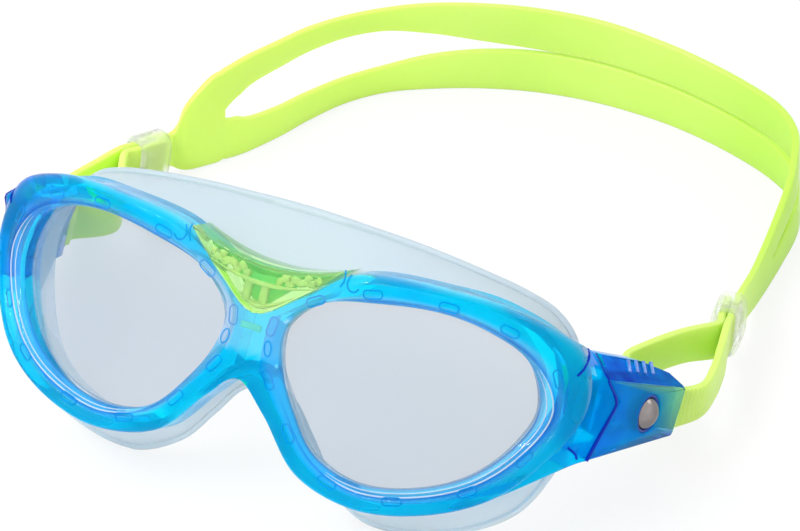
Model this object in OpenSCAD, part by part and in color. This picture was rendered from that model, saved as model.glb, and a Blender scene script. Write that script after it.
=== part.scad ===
// Child's swim goggles: a one-frame swim mask with a silicone face seal,
// hinged push-button buckles and a split head strap.
// The part stands as it lies on a table: z = 0 is the table, the front faces -Y.

/* [Mask] */
// Nominal width across the front frame
mask_w = 150; // [140:1:160]
// Height of the front frame
mask_h = 53; // [48:0.5:58]
// How far the front leans back from upright, in degrees
mask_lean = 28.8; // [24:0.2:33]
// How far the temple edges lie behind the nose bridge
mask_wrap = 21.1; // [18:0.1:24]
// Depth of the frame's outer wall
frame_depth = 9; // [8:0.1:11]
// How far the frame's crest stands proud of its edges
frame_crest = 1.4; // [0.8:0.1:2]
// Depth of the lens seat behind the front edge
lens_seat = 2.6; // [2:0.1:4]
// Thickness of a lens
lens_t = 2; // [1.4:0.1:2.6]

/* [Face skirt] */
// Depth of the face seal's rim at the brow
skirt_depth = 20; // [17:0.5:24]
// Thickness of the skirt's wall
skirt_t = 1.4; // [1:0.1:2]
// Width of the rolled lip at the rim
lip_w = 1.3; // [0.8:0.1:2]

/* [Bridge clip] */
// Half width of the clip along the frame's top edge
clip_half = 18.9; // [17:0.1:21]
// Height of the clip's upper edge at the nose, above the frame's centre line
clip_dip = 14.6; // [13:0.1:16]
// How far the clip stands proud of the frame
clip_proud = 1.2; // [0.6:0.1:2]
// Number of grip ribs on each half of the clip
clip_ribs = 4; // [2:1:5]

/* [Buckles] */
// How far the buckles toe out from straight back, in degrees
toe = 11.5; // [8:0.5:15]
// Length of a buckle from the tip of its V notch to the rear
buckle_len = 29.3; // [28.5:0.1:33]
// Thickness of the cover's outer wall
cover_wall = 1.8; // [1.4:0.1:2]
// Depth of the cover, outer face to inner edge
cover_depth = 8.6; // [8:0.1:9]
// Diameter of the push button
button_d = 7.6; // [6.6:0.1:8]
// Travel of the push button
button_travel = 1.2; // [0.8:0.1:1.2]
// Diameter of the hinge pin
hinge_d = 2; // [1.6:0.1:2.4]
// Diameter of the pawl's pin
pawl_pin_d = 1.6; // [1.2:0.1:1.8]
// Diameter of the bar that the strap turns round
bar_d = 4.4; // [3.8:0.1:4.6]

/* [Strap] */
// Width of the strap at the buckles
strap_w = 9.6; // [8.6:0.1:9.8]
// Thickness of the strap
strap_t = 1.8; // [1.4:0.1:1.9]
// Distance from the bridge to the back of the strap, along the table
loop_depth = 177.5; // [160:0.5:200]
// Length of a keeper along the strap
keeper_len = 9; // [7:0.5:10]
// Wall of a keeper
keeper_wall = 1.5; // [1:0.1:2]

/* [Hidden] */
$fn = 48;

// Shared clearances: pieces that are bonded together, and pieces that slide or turn
seat_gap = 0.06;
slide_gap = 0.3;
pin_gap = 0.04;
half_w = mask_w / 2;
sx = mask_w / 150;
sz = mask_h / 53;

// Small helpers: vectors and smooth curves through chosen points
function unit(v) = v / norm(v);
function mix(a, b, t) = a + (b - a) * t;
function mirrored(p) = [for (i = [0:len(p) - 1]) i == 0 ? -p[0] : p[i]];
function smooth(a, b, c, d, t) =
    (2 * b + (c - a) * t + (2 * a - 5 * b + 4 * c - d) * t * t + (3 * b - a - 3 * c + d) * t * t * t) / 2;
function loop_curve(p, n) = let (m = len(p))
    [for (i = [0:m - 1], k = [0:n - 1])
        smooth(p[(i + m - 1) % m], p[i], p[(i + 1) % m], p[(i + 2) % m], k / n)];
function path_curve(p, n, before, after) = let (q = concat([before], p, [after]))
    concat([for (i = [0:len(p) - 2], k = [0:n - 1]) smooth(q[i], q[i + 1], q[i + 2], q[i + 3], k / n)],
        [p[len(p) - 1]]);
// Two triangles for each four-cornered patch, turned over on request
function patch(a, b, c, d, flip) = flip ? [[a, c, b], [a, d, c]] : [[a, b, c], [a, c, d]];

// The mask's own frame: x across, y back, z up the face.
// Its front surface curves back towards the temples.
function wrap_y(x) = let (r = x / half_w) mask_wrap * (0.164 * r * r + 0.836 * r * r * r * r);
function wrap_slope(x) = let (r = x / half_w) mask_wrap * (0.328 * r + 3.344 * r * r * r) / half_w;
function behind(q, d) = let (s = wrap_slope(q[0]), l = sqrt(1 + s * s))
    [q[0] - s * d / l, wrap_y(q[0]) + d / l, q[1]];
function scaled(p) = [for (q = p) [q[0] * sx, q[1] * sz]];

// One eye's opening, and the frame's edge outside it, as matching points:
// temple, brow, nose, cheek. The edge meets the other half on x = 0 between points 6 and 7.
steps = 5;
eye_points = scaled([[66, -1], [61.5, 9], [52, 13.6], [41, 15], [28, 13.4], [15, 10], [7.6, 2.5],
    [8, -6], [13, -15.5], [20.5, -24], [32, -27.2], [45, -24.8], [56, -19], [63.5, -10]]);
edge_points = scaled([[74.2, 0], [71.3, 13.2], [58, 19.3], [43, 20.5], [22, 18.6], [10.5, 10.2], [0, 3.5],
    [0, -11.6], [7.5, -18], [17.5, -29], [32.5, -32.8], [47.5, -30.1], [60, -23.7], [68.2, -13.9]]);
corners = len(eye_points);
stations = corners * steps;
v_tip = 6;
notch = 7;
eye = loop_curve(eye_points, steps);
edge_order = [for (i = [0:corners - 1]) edge_points[(i + notch) % corners]];
edge_path = path_curve(edge_order, steps, mirrored(edge_points[notch + 1]),
    mirrored(edge_points[v_tip - 1]));
edge = [for (i = [0:stations - 1])
    i < v_tip * steps ? edge_path[(corners - notch) * steps + i]
    : i < notch * steps ? mix(edge_points[v_tip], edge_points[notch], (i - v_tip * steps) / steps)
    : edge_path[i - notch * steps]];
function on_bridge(i) = i >= v_tip * steps && i <= notch * steps;

// Section of the frame: share of the way from opening to edge, and depth behind the front
rabbet = 0.62;
frame_section = [[0, lens_seat], [0, 0.5], [0.12, -0.3 * frame_crest], [0.35, -0.85 * frame_crest],
    [0.62, -frame_crest], [0.86, -0.4 * frame_crest], [1, 1], [1, frame_depth],
    [rabbet, frame_depth], [rabbet, lens_seat]];
ring = len(frame_section);
outer_front = 6;
outer_back = 7;
// Near x = 0 the outer part of the section rises to the crest, so that the bridge is flat
bridge_fade = 2.2;
function bridge_share(i) = let (t = max(v_tip * steps - i, i - notch * steps, 0) / (bridge_fade * steps))
    t >= 1 ? 0 : 1 - t * t * (3 - 2 * t);
function section_depth(i, s) = s[0] > rabbet && s[1] < frame_depth
    ? mix(s[1], -0.85 * frame_crest, bridge_share(i)) : s[1];
// Round the temples the outer wall spreads towards its back edge
wall_draft = 1.1;
function from_temple(i) = i <= stations / 2 ? i / steps : (i - stations) / steps;
function draft(i) = let (t = (abs(from_temple(i) + 1.5) - 1.2) / 1.4)
    wall_draft * (t <= 0 ? 1 : t >= 1 ? 0 : 1 - t * t * (3 - 2 * t));
function wall_point(i, out, d) = behind(edge[i] + unit(edge[i] - eye[i])
    * (out + draft(i) * (d - 1) / (frame_depth - 1)), d);
frame_half = [for (i = [0:stations - 1], k = [0:ring - 1]) let (s = frame_section[k])
    k == outer_back ? wall_point(i, 0, frame_depth)
        : behind(mix(eye[i], edge[i], s[0]), section_depth(i, s))];
frame_points = concat(frame_half, [for (p = frame_half) mirrored(p)]);
function frame_corner(half, i, j) = let (k = i % stations, m = j % ring)
    k * ring + m
        + (half == 1 && !(on_bridge(k) && (m == outer_front || m == outer_back)) ? stations * ring : 0);
frame_faces = [for (half = [0, 1], i = [0:stations - 1], j = [0:ring - 1])
    if (!(j == outer_front && i >= v_tip * steps && i < notch * steps))
        each patch(frame_corner(half, i, j), frame_corner(half, i + 1, j),
            frame_corner(half, i + 1, j + 1), frame_corner(half, i, j + 1), half == 1)];

// A lens fills the rabbet: its flange lies under the frame, its face follows the wrap
lens_fit = rabbet - 0.04;
lens_mid = [36 * sx, -6 * sz];
lens_rings = [for (i = [0:stations - 1])
    [mix(eye[i], edge[i], lens_fit), eye[i], mix(lens_mid, eye[i], 0.66), mix(lens_mid, eye[i], 0.33)]];
lens_front = lens_seat + seat_gap;
lens_levels = len(lens_rings[0]);
lens_side = stations * lens_levels + 1;
function lens_layer(d) = concat([for (r = lens_rings, q = r) behind(q, d)], [behind(lens_mid, d)]);
function lens_id(layer, i, j) = layer * lens_side
    + (j == lens_levels ? lens_side - 1 : (i % stations) * lens_levels + j);
lens_faces = concat(
    [for (layer = [0, 1], i = [0:stations - 1], j = [0:lens_levels - 2])
        each patch(lens_id(layer, i, j), lens_id(layer, i, j + 1), lens_id(layer, i + 1, j + 1),
            lens_id(layer, i + 1, j), layer == 1)],
    [for (layer = [0, 1], i = [0:stations - 1])
        let (a = lens_id(layer, i, lens_levels - 1), b = lens_id(layer, i + 1, lens_levels - 1))
        layer == 1 ? [a, b, lens_id(layer, 0, lens_levels)] : [a, lens_id(layer, 0, lens_levels), b]],
    [for (i = [0:stations - 1])
        each patch(lens_id(0, i, 0), lens_id(0, i + 1, 0), lens_id(1, i + 1, 0), lens_id(1, i, 0), false)]);

// The skirt runs from the frame's back face to the rim on the face.
// Both lists go from the brow at x = 0, round the temple, to the nose at x = 0.
skirt_front = scaled([[0, 12.4], [10, 13.4], [21, 17.4], [31, 18.9], [43, 19.2], [57, 17.4], [66, 13.9],
    [71, 9], [73.6, 0], [71.9, -8], [68.4, -14], [59.4, -23], [46.8, -29], [32.4, -31.7], [18.6, -28],
    [9.4, -17.8], [4.8, -12], [0, -9.9]]);
rim_list = [[0, 1, 25.3], [11, 1, 25.1], [22, 1.02, 24.6], [32, 1.06, 23.7], [42, 1.14, 22.3],
    [51, 1.32, 20.2],
    [58, 1.52, 17.1], [63, 1.66, 11.3], [65.6, 1.7, 2], [66.4, 1.6, -8], [66, 1.38, -17.5],
    [61, 1.14, -27.4], [48, 1.03, -35.2], [31.5, 1, -38.4], [20, 1, -33.4], [12.6, 0.95, -24.6],
    [7, 0.86, -17.4], [0, 0.76, -13.4]];
skirt_rim = [for (p = rim_list)
    [p[0] * sx, p[1] * skirt_depth + (p[0] > 45 ? mask_wrap - 21.1 : 0), p[2] * sz]];
skirt_steps = 4;
function both_sides(p) = concat(p, [for (i = [len(p) - 2:-1:1]) mirrored(p[i])]);
skirt_a = loop_curve(both_sides(skirt_front), skirt_steps);
skirt_b = loop_curve(both_sides(skirt_rim), skirt_steps);
skirt_n = len(skirt_a);
function skirt_out(i) = let (d = unit(skirt_a[(i + 1) % skirt_n] - skirt_a[(i + skirt_n - 1) % skirt_n]))
    [-d[1], 0, d[0]];
skirt_shares = [0, 0.3, 0.6, 0.88];
skirt_swell = 0.9;
function skirt_wall(i, s, inset) = mix(behind(skirt_a[i], frame_depth + seat_gap), skirt_b[i], s)
    + skirt_out(i) * (skirt_swell * sin(180 * s) - inset);
function skirt_section(i) = concat(
    [for (s = skirt_shares) skirt_wall(i, s, 0)],
    [skirt_b[i] + skirt_out(i) * lip_w, skirt_b[i] + skirt_out(i) * lip_w * 0.6 + [0, 0.7 * skirt_t, 0],
        skirt_b[i] - skirt_out(i) * 0.3 * lip_w + [0, 0.5 * skirt_t, 0]],
    [for (k = [len(skirt_shares) - 1:-1:0]) skirt_wall(i, skirt_shares[k], skirt_t)]);
skirt_points = [for (i = [0:skirt_n - 1]) each skirt_section(i)];
skirt_ring = len(skirt_points) / skirt_n;
skirt_faces = [for (i = [0:skirt_n - 1], j = [0:skirt_ring - 1])
    let (a = i * skirt_ring, b = ((i + 1) % skirt_n) * skirt_ring, k = (j + 1) % skirt_ring)
    each patch(a + j, b + j, b + k, a + k, true)];

// The mask leans back until its skirt touches the table
function lean_y(p) = p[1] * cos(mask_lean) + p[2] * sin(mask_lean);
function lean_z(p) = p[2] * cos(mask_lean) - p[1] * sin(mask_lean);
front_h = -min([for (p = skirt_points) lean_z(p)]);
function on_table(p) = [p[0], lean_y(p), lean_z(p) + front_h];

// Buckle frame: x outward, y back along the buckle, z up the face; zero is the tip of the V
arm_out = 2.8;
arm_back = 8.2;
arm_z = -0.4;
arm_x = half_w + arm_out;
arm_y = mask_wrap + arm_back;
function from_buckle(o, b, z) =
    [arm_x + o * cos(toe) + b * sin(toe), arm_y - o * sin(toe) + b * cos(toe), z + arm_z];
// The V between arm and cover, from the lower edge to the top, as distance back and height
chevron = [[-7.7, -10.2], [0, 3], [-7, 8.6], [-6.5, 13.1]];
chevron_gap = 0.4;
chevron_room = 1.6;
facet = 0.94;
ridge_0 = 7.74;
ridge_fall = 0.094;
floor_0 = -9.45;
floor_rise = 0.103;
function ridge(b) = ridge_0 - ridge_fall * b;
function under(b) = floor_0 + floor_rise * b;
top_edge = [[13.5, 10.7], [25, 8]];
wall_low = 1;
wall_ridge = 0.6;
wall_facet = 1.4;

// Hinge, button, pawl and bar, as places in the buckle frame
hinge_o = -5.5;
hinge_b = 3;
knuckle_r = 2.3;
button_b = 14.8;
button_z = -0.45;
stem_r = 0.9;
flange_r = button_d / 2 + 0.7;
flange_t = 0.65;
// The flange is cut straight where the strap turns round its bar
flange_reach = 2.9;
flange_top = -cover_wall - 0.15;
stem_end = flange_top - flange_t - 1;
pawl_o = -6.2;
pawl_b = 8;
pawl_half = 3.5;
pawl_top = stem_end - 0.1;
bar_o = -6.6;
bar_b = 21.5;
turn_r = bar_d / 2 + slide_gap + strap_t / 2;
rail_in = [-5.15, 5.7];
rail_out = [-6.05, 6.9];
plate_top = -10;
plate_t = 1.2;
plate_front = 6.5;
plate_rear = 15.5;

// Strap stations: middle of the band, its up direction, half width, gap between the two bands
up_mask = [0, sin(mask_lean), cos(mask_lean)];
up = [0, 0, 1];
half_strap = strap_w / 2;
// Place of each keeper, how far it turns inward and how far its rear end hangs down; the two sides differ
function keeper_at(side) = side > 0 ? [arm_x + 0.7, arm_y + 62.4, half_strap + 6.2]
    : [arm_x - 1.6, arm_y + 62.4, half_strap + 4];
function keeper_turn(side) = side > 0 ? 11 : 22;
keeper_fall = 10;
function along(side) = [-sin(keeper_turn(side)) * cos(keeper_fall), cos(keeper_turn(side)) * cos(keeper_fall),
    -sin(keeper_fall)];
function outward(side) = [cos(keeper_turn(side)), sin(keeper_turn(side)), 0];
function keeper_up(side) = [-sin(keeper_turn(side)) * sin(keeper_fall),
    cos(keeper_turn(side)) * sin(keeper_fall), cos(keeper_fall)];
run_apart = strap_t / 2 + slide_gap / 2;
keeper_travel = 3;
straight = keeper_len / 2 + keeper_travel + 1.2;
// The strap's tail ends inside the keeper
tail_past = keeper_len / 2 - 0.6;
function station(c, w, h, g) = [c[0], c[1], c[2], w[0], w[1], w[2], h, g];
function in_buckle(o, b, z) = station(on_table(from_buckle(o, b, z)), up_mask, half_strap, 0);
function free_run(c, lean = 0) = station(c, unit([lean, 0, 1]), half_strap, 0);
function keeper_spot(side, b, layer) = keeper_at(side) + along(side) * b + outward(side) * run_apart * layer;
function in_keeper(side, b, layer) = station(keeper_spot(side, b, layer), keeper_up(side), half_strap, 0);
tail_start = on_table(from_buckle(bar_o - turn_r - 0.1, bar_b + 4, 1.2));
run_start = on_table(from_buckle(bar_o + turn_r + 0.1, buckle_len + 3.7, -0.7));
function strap_side(side) = let (
        tail_keeper = keeper_spot(side, -straight, -1),
        run_keeper = keeper_spot(side, -straight, 1))
    concat(
        [for (b = [tail_past, 0, -straight / 2, -straight]) in_keeper(side, b, -1)],
        [free_run(mix(tail_start, tail_keeper, 0.75) + [-3.2, -0.5, 1.2]),
            free_run(mix(tail_start, tail_keeper, 0.5) + [-6.2, -1.5, 1.2]),
            free_run(mix(tail_start, tail_keeper, 0.25) + [-7.4, -1.4, 0.6]),
            in_buckle(bar_o - turn_r - 0.1, bar_b + 4, 1.2)],
        [for (a = [-90:30:90])
            in_buckle(bar_o + turn_r * sin(a), bar_b - turn_r * cos(a), 0.3 - 0.1 * a / 90)],
        [in_buckle(bar_o + turn_r, bar_b + 4, -0.2), in_buckle(bar_o + turn_r, buckle_len + 0.2, -0.55),
            station(run_start, unit(up_mask + up), half_strap, 0),
            free_run(mix(run_start, run_keeper, 0.28) + [3.6, -2.2, -0.4], 0.05),
            free_run(mix(run_start, run_keeper, 0.52) + [3.3, -1.2, -0.6]),
            free_run(mix(run_start, run_keeper, 0.77) + [1.8, -0.4, -0.4], -0.05)],
        [for (b = [-straight, -straight / 2, 0, straight / 2, straight]) in_keeper(side, b, 1)]);
function other_side(s) = [-s[0], s[1], s[2], -s[3], s[4], s[5], s[6], s[7]];
// Back of the strap, left to right: place of the lower edge, its height, half width of each band's pair,
// gap of the split and how far it leans outward
back_list = [[-71.4, 102.4, 0.4, 9.1, 0, 0], [-68.1, 106.6, 0.2, 12, 0, 0], [-65.8, 110.3, 0.25, 13, 0, 0],
    [-63.4, 114.1, 0, 10.9, 5.8, 0], [-61.2, 118.2, 0, 9.1, 10.2, 0], [-57.6, 126.8, 0, 8.1, 12.2, 0],
    [-54.4, 136.3, 0, 7.5, 12.7, 0], [-49.6, 147.2, 0, 6.9, 12.4, 0], [-42.6, 156.3, 0, 7.2, 11, 0],
    [-33.4, 163.1, 0, 9.3, 7, 0], [-21, 169.8, 0, 11.2, 2.9, 0], [-7, 174.8, 0, 12, 0.9, 0],
    [8.7, 177.3, 0, 11.9, 0.7, 0], [24.5, 177, 0, 11.4, 0.7, 0], [37.4, 174.8, 0, 11.1, 0.7, 0],
    [49.8, 171, 0, 10.9, 0.8, 0], [60.4, 166.2, 0, 10.4, 1.4, 0], [68.4, 160, 0, 9.6, 2, -0.05],
    [72.6, 151.5, 0, 8.6, 2.1, -0.1], [74.5, 144.2, 0, 7.7, 1.9, -0.12], [75.3, 134.8, 0, 6.6, 1.1, -0.12],
    [75.9, 124.3, 0.1, 5.9, 0, -0.1], [76.6, 113.5, 1.2, 5.2, 0, -0.05]];
back_from = 99;
back_scale = (loop_depth - back_from) / (177.5 - back_from);
function back_station(p) = let (
        q = [p[0] * sx, back_from + (p[1] - back_from) * back_scale],
        out = unit([q[0], q[1] - back_from]),
        w = unit([out[0] * p[5], out[1] * p[5], 1]),
        grow = strap_w / 9.6)
    station([q[0], q[1], p[2] + strap_t / 2 * abs(p[5])] + w * (p[3] * grow + p[4] / 2), w, p[3] * grow,
        p[4]);
strap_route = concat([for (s = strap_side(-1)) other_side(s)], [for (p = back_list) back_station(p)],
    [for (i = [len(strap_side(1)) - 1:-1:0]) strap_side(1)[i]]);
strap_steps = 4;
last_stop = len(strap_route) - 1;
strap = path_curve(strap_route, strap_steps, 2 * strap_route[0] - strap_route[1],
    2 * strap_route[last_stop] - strap_route[last_stop - 1]);
strap_n = len(strap);
function band_mid(i) = [strap[i][0], strap[i][1], strap[i][2]];
function band_along(i) = unit(band_mid(min(i + 1, strap_n - 1)) - band_mid(max(i - 1, 0)));
function band_up(i) = unit([strap[i][3], strap[i][4], strap[i][5]]);
function band_face(i) = unit(cross(band_along(i), band_up(i)));
function split(i) = strap[i][7] > 0.15 ? strap[i][7] : 0;
// Where the split is open it lies a little above the middle
split_rise = 0.7;
function rise(i) = split_rise * min(1, split(i) / 6);
function band_section(i) = let (h = strap[i][6], g = split(i) / 2, n = band_face(i) * strap_t / 2)
    [for (e = [-h - g, rise(i) - g, rise(i) + g, h + g], s = [-1, 1]) band_mid(i) + band_up(i) * e + n * s];
strap_points = [for (i = [0:strap_n - 1]) each band_section(i)];
// Corners run lower edge, split's lower side, split's upper side, upper edge; inner and outer face
function band_id(i, level, face) = i * 8 + 2 * (level == 2 && split(i) == 0 ? 1 : level) + face;
strap_faces = concat(
    [for (i = [0:strap_n - 2], level = [0, 2], face = [0, 1])
        each patch(band_id(i, level, face), band_id(i + 1, level, face), band_id(i + 1, level + 1, face),
            band_id(i, level + 1, face), face == 1)],
    [for (i = [0:strap_n - 2], level = [0, 3])
        each patch(band_id(i, level, 0), band_id(i, level, 1), band_id(i + 1, level, 1),
            band_id(i + 1, level, 0), level == 3)],
    [for (i = [0:strap_n - 2], level = [1, 2]) if (split(i) > 0 || split(i + 1) > 0)
        each patch(band_id(i, level, 0), band_id(i, level, 1), band_id(i + 1, level, 1),
            band_id(i + 1, level, 0), level == 1)],
    [for (i = [0, strap_n - 1], level = [0, 2])
        each patch(band_id(i, level, 0), band_id(i, level + 1, 0), band_id(i, level + 1, 1),
            band_id(i, level, 1), i == strap_n - 1)]);

// The part's origin lies under the middle of its box
front_y = min([for (p = frame_points) lean_y(p)]);
back_y = max([for (p = strap_points) p[1]]);
shift_y = -(front_y + back_y) / 2;

module standing() translate([0, shift_y, 0]) children();
module on_mask() standing() translate([0, 0, front_h]) rotate([-mask_lean, 0, 0]) children();
module on_side(side) mirror([side < 0 ? 1 : 0, 0, 0]) children();
module on_buckle(side) on_mask() on_side(side)
    translate([arm_x, arm_y, arm_z]) rotate([0, 0, -toe]) children();
// A side outline, distance back by height, given thickness across the buckle
module across(o1, o2) translate([o1, 0, 0]) rotate([90, 0, 90]) linear_extrude(o2 - o1) children();
module upright(z1, z2) translate([0, 0, z1]) linear_extrude(z2 - z1) children();
module cross_pin(o, b, r, z1, z2) translate([o, b, z1]) cylinder(r = r, h = z2 - z1);

module front_frame() {
    color("deepskyblue") on_mask() polyhedron(frame_points, frame_faces);
}

module lens(side) {
    points = concat(lens_layer(lens_front), lens_layer(lens_front + lens_t));
    color("whitesmoke") on_mask() polyhedron(side < 0 ? [for (p = points) mirrored(p)] : points,
        side < 0 ? [for (f = lens_faces) [f[0], f[2], f[1]]] : lens_faces);
}

module face_skirt() {
    color("lightsteelblue") on_mask() polyhedron(skirt_points, skirt_faces);
}

// The clip fills the V at the top of the bridge, from proud of the front to the frame's back face
clip_gap = 0.12;
clip_rib = 0.5;
v_line = [for (k = [0:2 * steps]) behind(edge[v_tip * steps - k], frame_depth)];
clip_lower = [for (p = v_line) if (p[0] < clip_half - 0.5) [p[0] * 0.99, p[2] + clip_gap]];
clip_tip = [clip_half, 18.5 * sz];
clip_arch = [for (k = [0:8]) let (t = k / 8)
    [clip_half * t, clip_dip * sz + (clip_tip[1] - clip_dip * sz) * t * t]];
clip_half_outline = concat(clip_lower, [for (k = [8:-1:0]) clip_arch[k]]);
module clip_side() {
    rotate([90, 0, 0]) translate([0, 0, -frame_depth]) linear_extrude(frame_depth + clip_proud)
        polygon(clip_half_outline);
    for (k = [1:clip_ribs])
        translate([clip_half * 0.78 * k / (clip_ribs + 0.5), -clip_proud, clip_dip * sz - 2.6 + 0.12 * k * k])
            sphere(r = clip_rib, $fn = 24);
}
module bridge_clip() {
    color("greenyellow") on_mask() union() {
        clip_side();
        mirror([1, 0, 0]) clip_side();
    }
}

// The arm grows out of the frame's temple wall and ends in the V and a hinge knuckle
arm_stations = [for (i = [-steps:steps]) (i + stations) % stations];
arm_n = len(arm_stations);
function chevron_at(k) = k <= 6 ? mix(chevron[0], chevron[1], k / 6)
    : k <= 8 ? mix(chevron[1], chevron[2], (k - 6) / 2) : mix(chevron[2], chevron[3], (k - 8) / 2);
arm_inner = -7.4;
function arm_outer(z) = z > chevron[2][1] ? -(z - chevron[2][1]) / facet : 0;
function temple(i, d) = wall_point(i, seat_gap, d);
function arm_section(k) = let (
        i = arm_stations[k],
        v = chevron_at(k),
        a = temple(i, 1.1),
        d = from_buckle(arm_outer(v[1]), v[0], v[1]))
    [a, mix(a, d, 0.5) + [0.35, -0.35, 0], d, from_buckle(arm_inner, v[0], v[1]),
        temple(i, frame_depth - 0.4)];
arm_points = [for (k = [0:arm_n - 1]) each arm_section(k)];
arm_ring = len(arm_points) / arm_n;
arm_faces = concat(
    [for (k = [0:arm_n - 2], j = [0:arm_ring - 1]) let (a = k * arm_ring, m = (j + 1) % arm_ring)
        each patch(a + j, a + m, a + arm_ring + m, a + arm_ring + j, true)],
    [for (j = [1:arm_ring - 2]) [0, j, j + 1]],
    [for (j = [1:arm_ring - 2]) let (e = (arm_n - 1) * arm_ring) [e, e + j + 1, e + j]]);
tongue = [[-3.6, -4.7], [hinge_o + knuckle_r - 0.02, hinge_b],
    [hinge_o - knuckle_r + 0.02, hinge_b], [-7.2, -2.4]];
knuckle_z = [rail_in[0] + 0.15, rail_in[1] - 0.15];
module side_arm(side) {
    color("dodgerblue") difference() {
        union() {
            on_mask() on_side(side) polyhedron(arm_points, arm_faces);
            on_buckle(side) upright(knuckle_z[0], knuckle_z[1]) polygon(tongue);
            on_buckle(side) cross_pin(hinge_o, hinge_b, knuckle_r, knuckle_z[0], knuckle_z[1]);
        }
        on_buckle(side)
            cross_pin(hinge_o, hinge_b, hinge_d / 2 + pin_gap, knuckle_z[0] - 1, knuckle_z[1] + 1);
    }
}

module hinge_pin(side) {
    color("silver") on_buckle(side) cross_pin(hinge_o, hinge_b, hinge_d / 2, rail_out[0], rail_out[1]);
}

// Cover: a shell cut from one side outline, with the slanted upper facet and the V at its front
cover_outline = concat([for (p = chevron) [p[0] + chevron_gap, p[1]]], top_edge,
    [[buckle_len - 1.2, ridge(buckle_len) + 1], [buckle_len, ridge(buckle_len) - 0.6],
        [buckle_len - 1, under(buckle_len) + 1.4], [buckle_len - 2.2, under(buckle_len) + 0.1]]);
function hollow(top, b1, b2) = [[b1, under(b1) + wall_low], [b2, under(b2) + wall_low], [b2, ridge(b2) + top],
    [b1, ridge(b1) + top]];
front_room = concat([[-20, -20], [chevron[0][0] + chevron_room, -20]],
    [for (p = chevron) [p[0] + chevron_room, p[1]]], [[chevron[3][0] + chevron_room, 20], [-20, 20]]);
rear_wall = 2.6;
grip_r = 0.5;
module grip_ribs() {
    for (b = [5:3.6:16]) translate([-2, b, ridge(b) + 2 * facet])
        rotate([-30, -45, 0]) cylinder(r = grip_r, h = 3.4);
}
module buckle_cover(side) {
    color("mediumblue") on_buckle(side) difference() {
        union() {
            difference() {
                across(-cover_depth, 0) polygon(cover_outline);
                translate([0, 0, ridge_0]) rotate([-atan(ridge_fall), 0, 0]) translate([0, 50, 0])
                    rotate([90, 0, 0]) linear_extrude(80)
                        polygon([[6, -6 * facet], [-16, 16 * facet], [-16, 40], [6, 40]]);
            }
            grip_ribs();
        }
        across(-cover_depth - 1, -cover_wall) polygon(hollow(-wall_ridge, -20, buckle_len - rear_wall));
        across(-cover_depth - 1, -cover_wall - 1.6) polygon(hollow(wall_facet, -20, buckle_len - rear_wall));
        across(-cover_depth - 1, -2.5) polygon(front_room);
        translate([bar_o + turn_r - strap_t / 2 - 0.5, buckle_len - rear_wall - 1,
            -0.6 - half_strap - slide_gap])
            cube([strap_t + 1, rear_wall + 3, strap_w + 2 * slide_gap]);
        translate([-cover_wall - 1, button_b, button_z]) rotate([0, 90, 0])
            cylinder(d = button_d + 0.2, h = cover_wall + 3);
        translate([-0.6, button_b, button_z]) rotate([0, 90, 0]) cylinder(d = button_d + 1.6, h = 3);
    }
}

// Base: two rails with hinge lugs, joined by the inner plate and by the bar
rail = [[hinge_o + knuckle_r - 0.02, hinge_b], [-3.4, 14], [-4.3, 18], [-4.3, bar_b + 1.4],
    [-8.8, bar_b + 1.4], [-8.8, 18],
    [plate_top - plate_t, plate_rear], [plate_top - plate_t, plate_front],
    [hinge_o - knuckle_r + 0.02, hinge_b]];
plate = [[plate_top - plate_t, plate_front], [plate_top, plate_front],
    [plate_top, plate_rear], [plate_top - plate_t, plate_rear]];
module rail_side(z1, z2) {
    upright(z1, z2) polygon(rail);
    cross_pin(hinge_o, hinge_b, knuckle_r, z1, z2);
}
module buckle_base(side) {
    color("royalblue") on_buckle(side) difference() {
        union() {
            rail_side(rail_out[0], rail_in[0]);
            rail_side(rail_in[1], rail_out[1]);
            upright(rail_out[0], rail_out[1]) polygon(plate);
            cross_pin(bar_o, bar_b, bar_d / 2, rail_out[0], rail_out[1]);
        }
        cross_pin(hinge_o, hinge_b, hinge_d / 2 + pin_gap, rail_out[0] - 1, rail_out[1] + 1);
        cross_pin(pawl_o, pawl_b, pawl_pin_d / 2 + pin_gap, rail_out[0] - 1, rail_out[1] + 1);
    }
}

dome_h = 2.4;
dome_r = (button_d * button_d / 4 + dome_h * dome_h) / (2 * dome_h);
module button(side) {
    color("silver") on_buckle(side) translate([0, button_b, button_z]) rotate([0, 90, 0]) {
        intersection() {
            translate([0, 0, flange_top - flange_t]) cylinder(r = flange_r, h = flange_t);
            translate([-10, -10, flange_top - 1]) cube([20, 10 + flange_reach, 2]);
        }
        translate([0, 0, stem_end]) cylinder(r = stem_r, h = 1.2);
        translate([0, 0, flange_top - 0.1]) cylinder(d = button_d, h = -flange_top - 0.4);
        intersection() {
            translate([0, 0, dome_h - 0.5 - dome_r]) sphere(r = dome_r);
            translate([0, 0, -0.5]) cylinder(d = button_d, h = dome_h + 1);
        }
    }
}

pawl_outline = [[pawl_top, 6.6], [pawl_top, 15.8], [pawl_top - 1.2, 15.8], [-6, 12],
    [-6.4, 15.2], [-7.2, 16.9], [-8, 15],
    [-7.8, 7.4], [-7.2, 6.4]];
module pawl(side) {
    z1 = 0.3 - pawl_half;
    z2 = 0.3 + pawl_half;
    color("lightgray") on_buckle(side) difference() {
        upright(z1, z2) polygon(pawl_outline);
        cross_pin(pawl_o, pawl_b, pawl_pin_d / 2 + pin_gap, z1 - 1, z2 + 1);
    }
}

module pawl_pin(side) {
    color("silver") on_buckle(side) cross_pin(pawl_o, pawl_b, pawl_pin_d / 2, rail_out[0], rail_out[1]);
}

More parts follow.
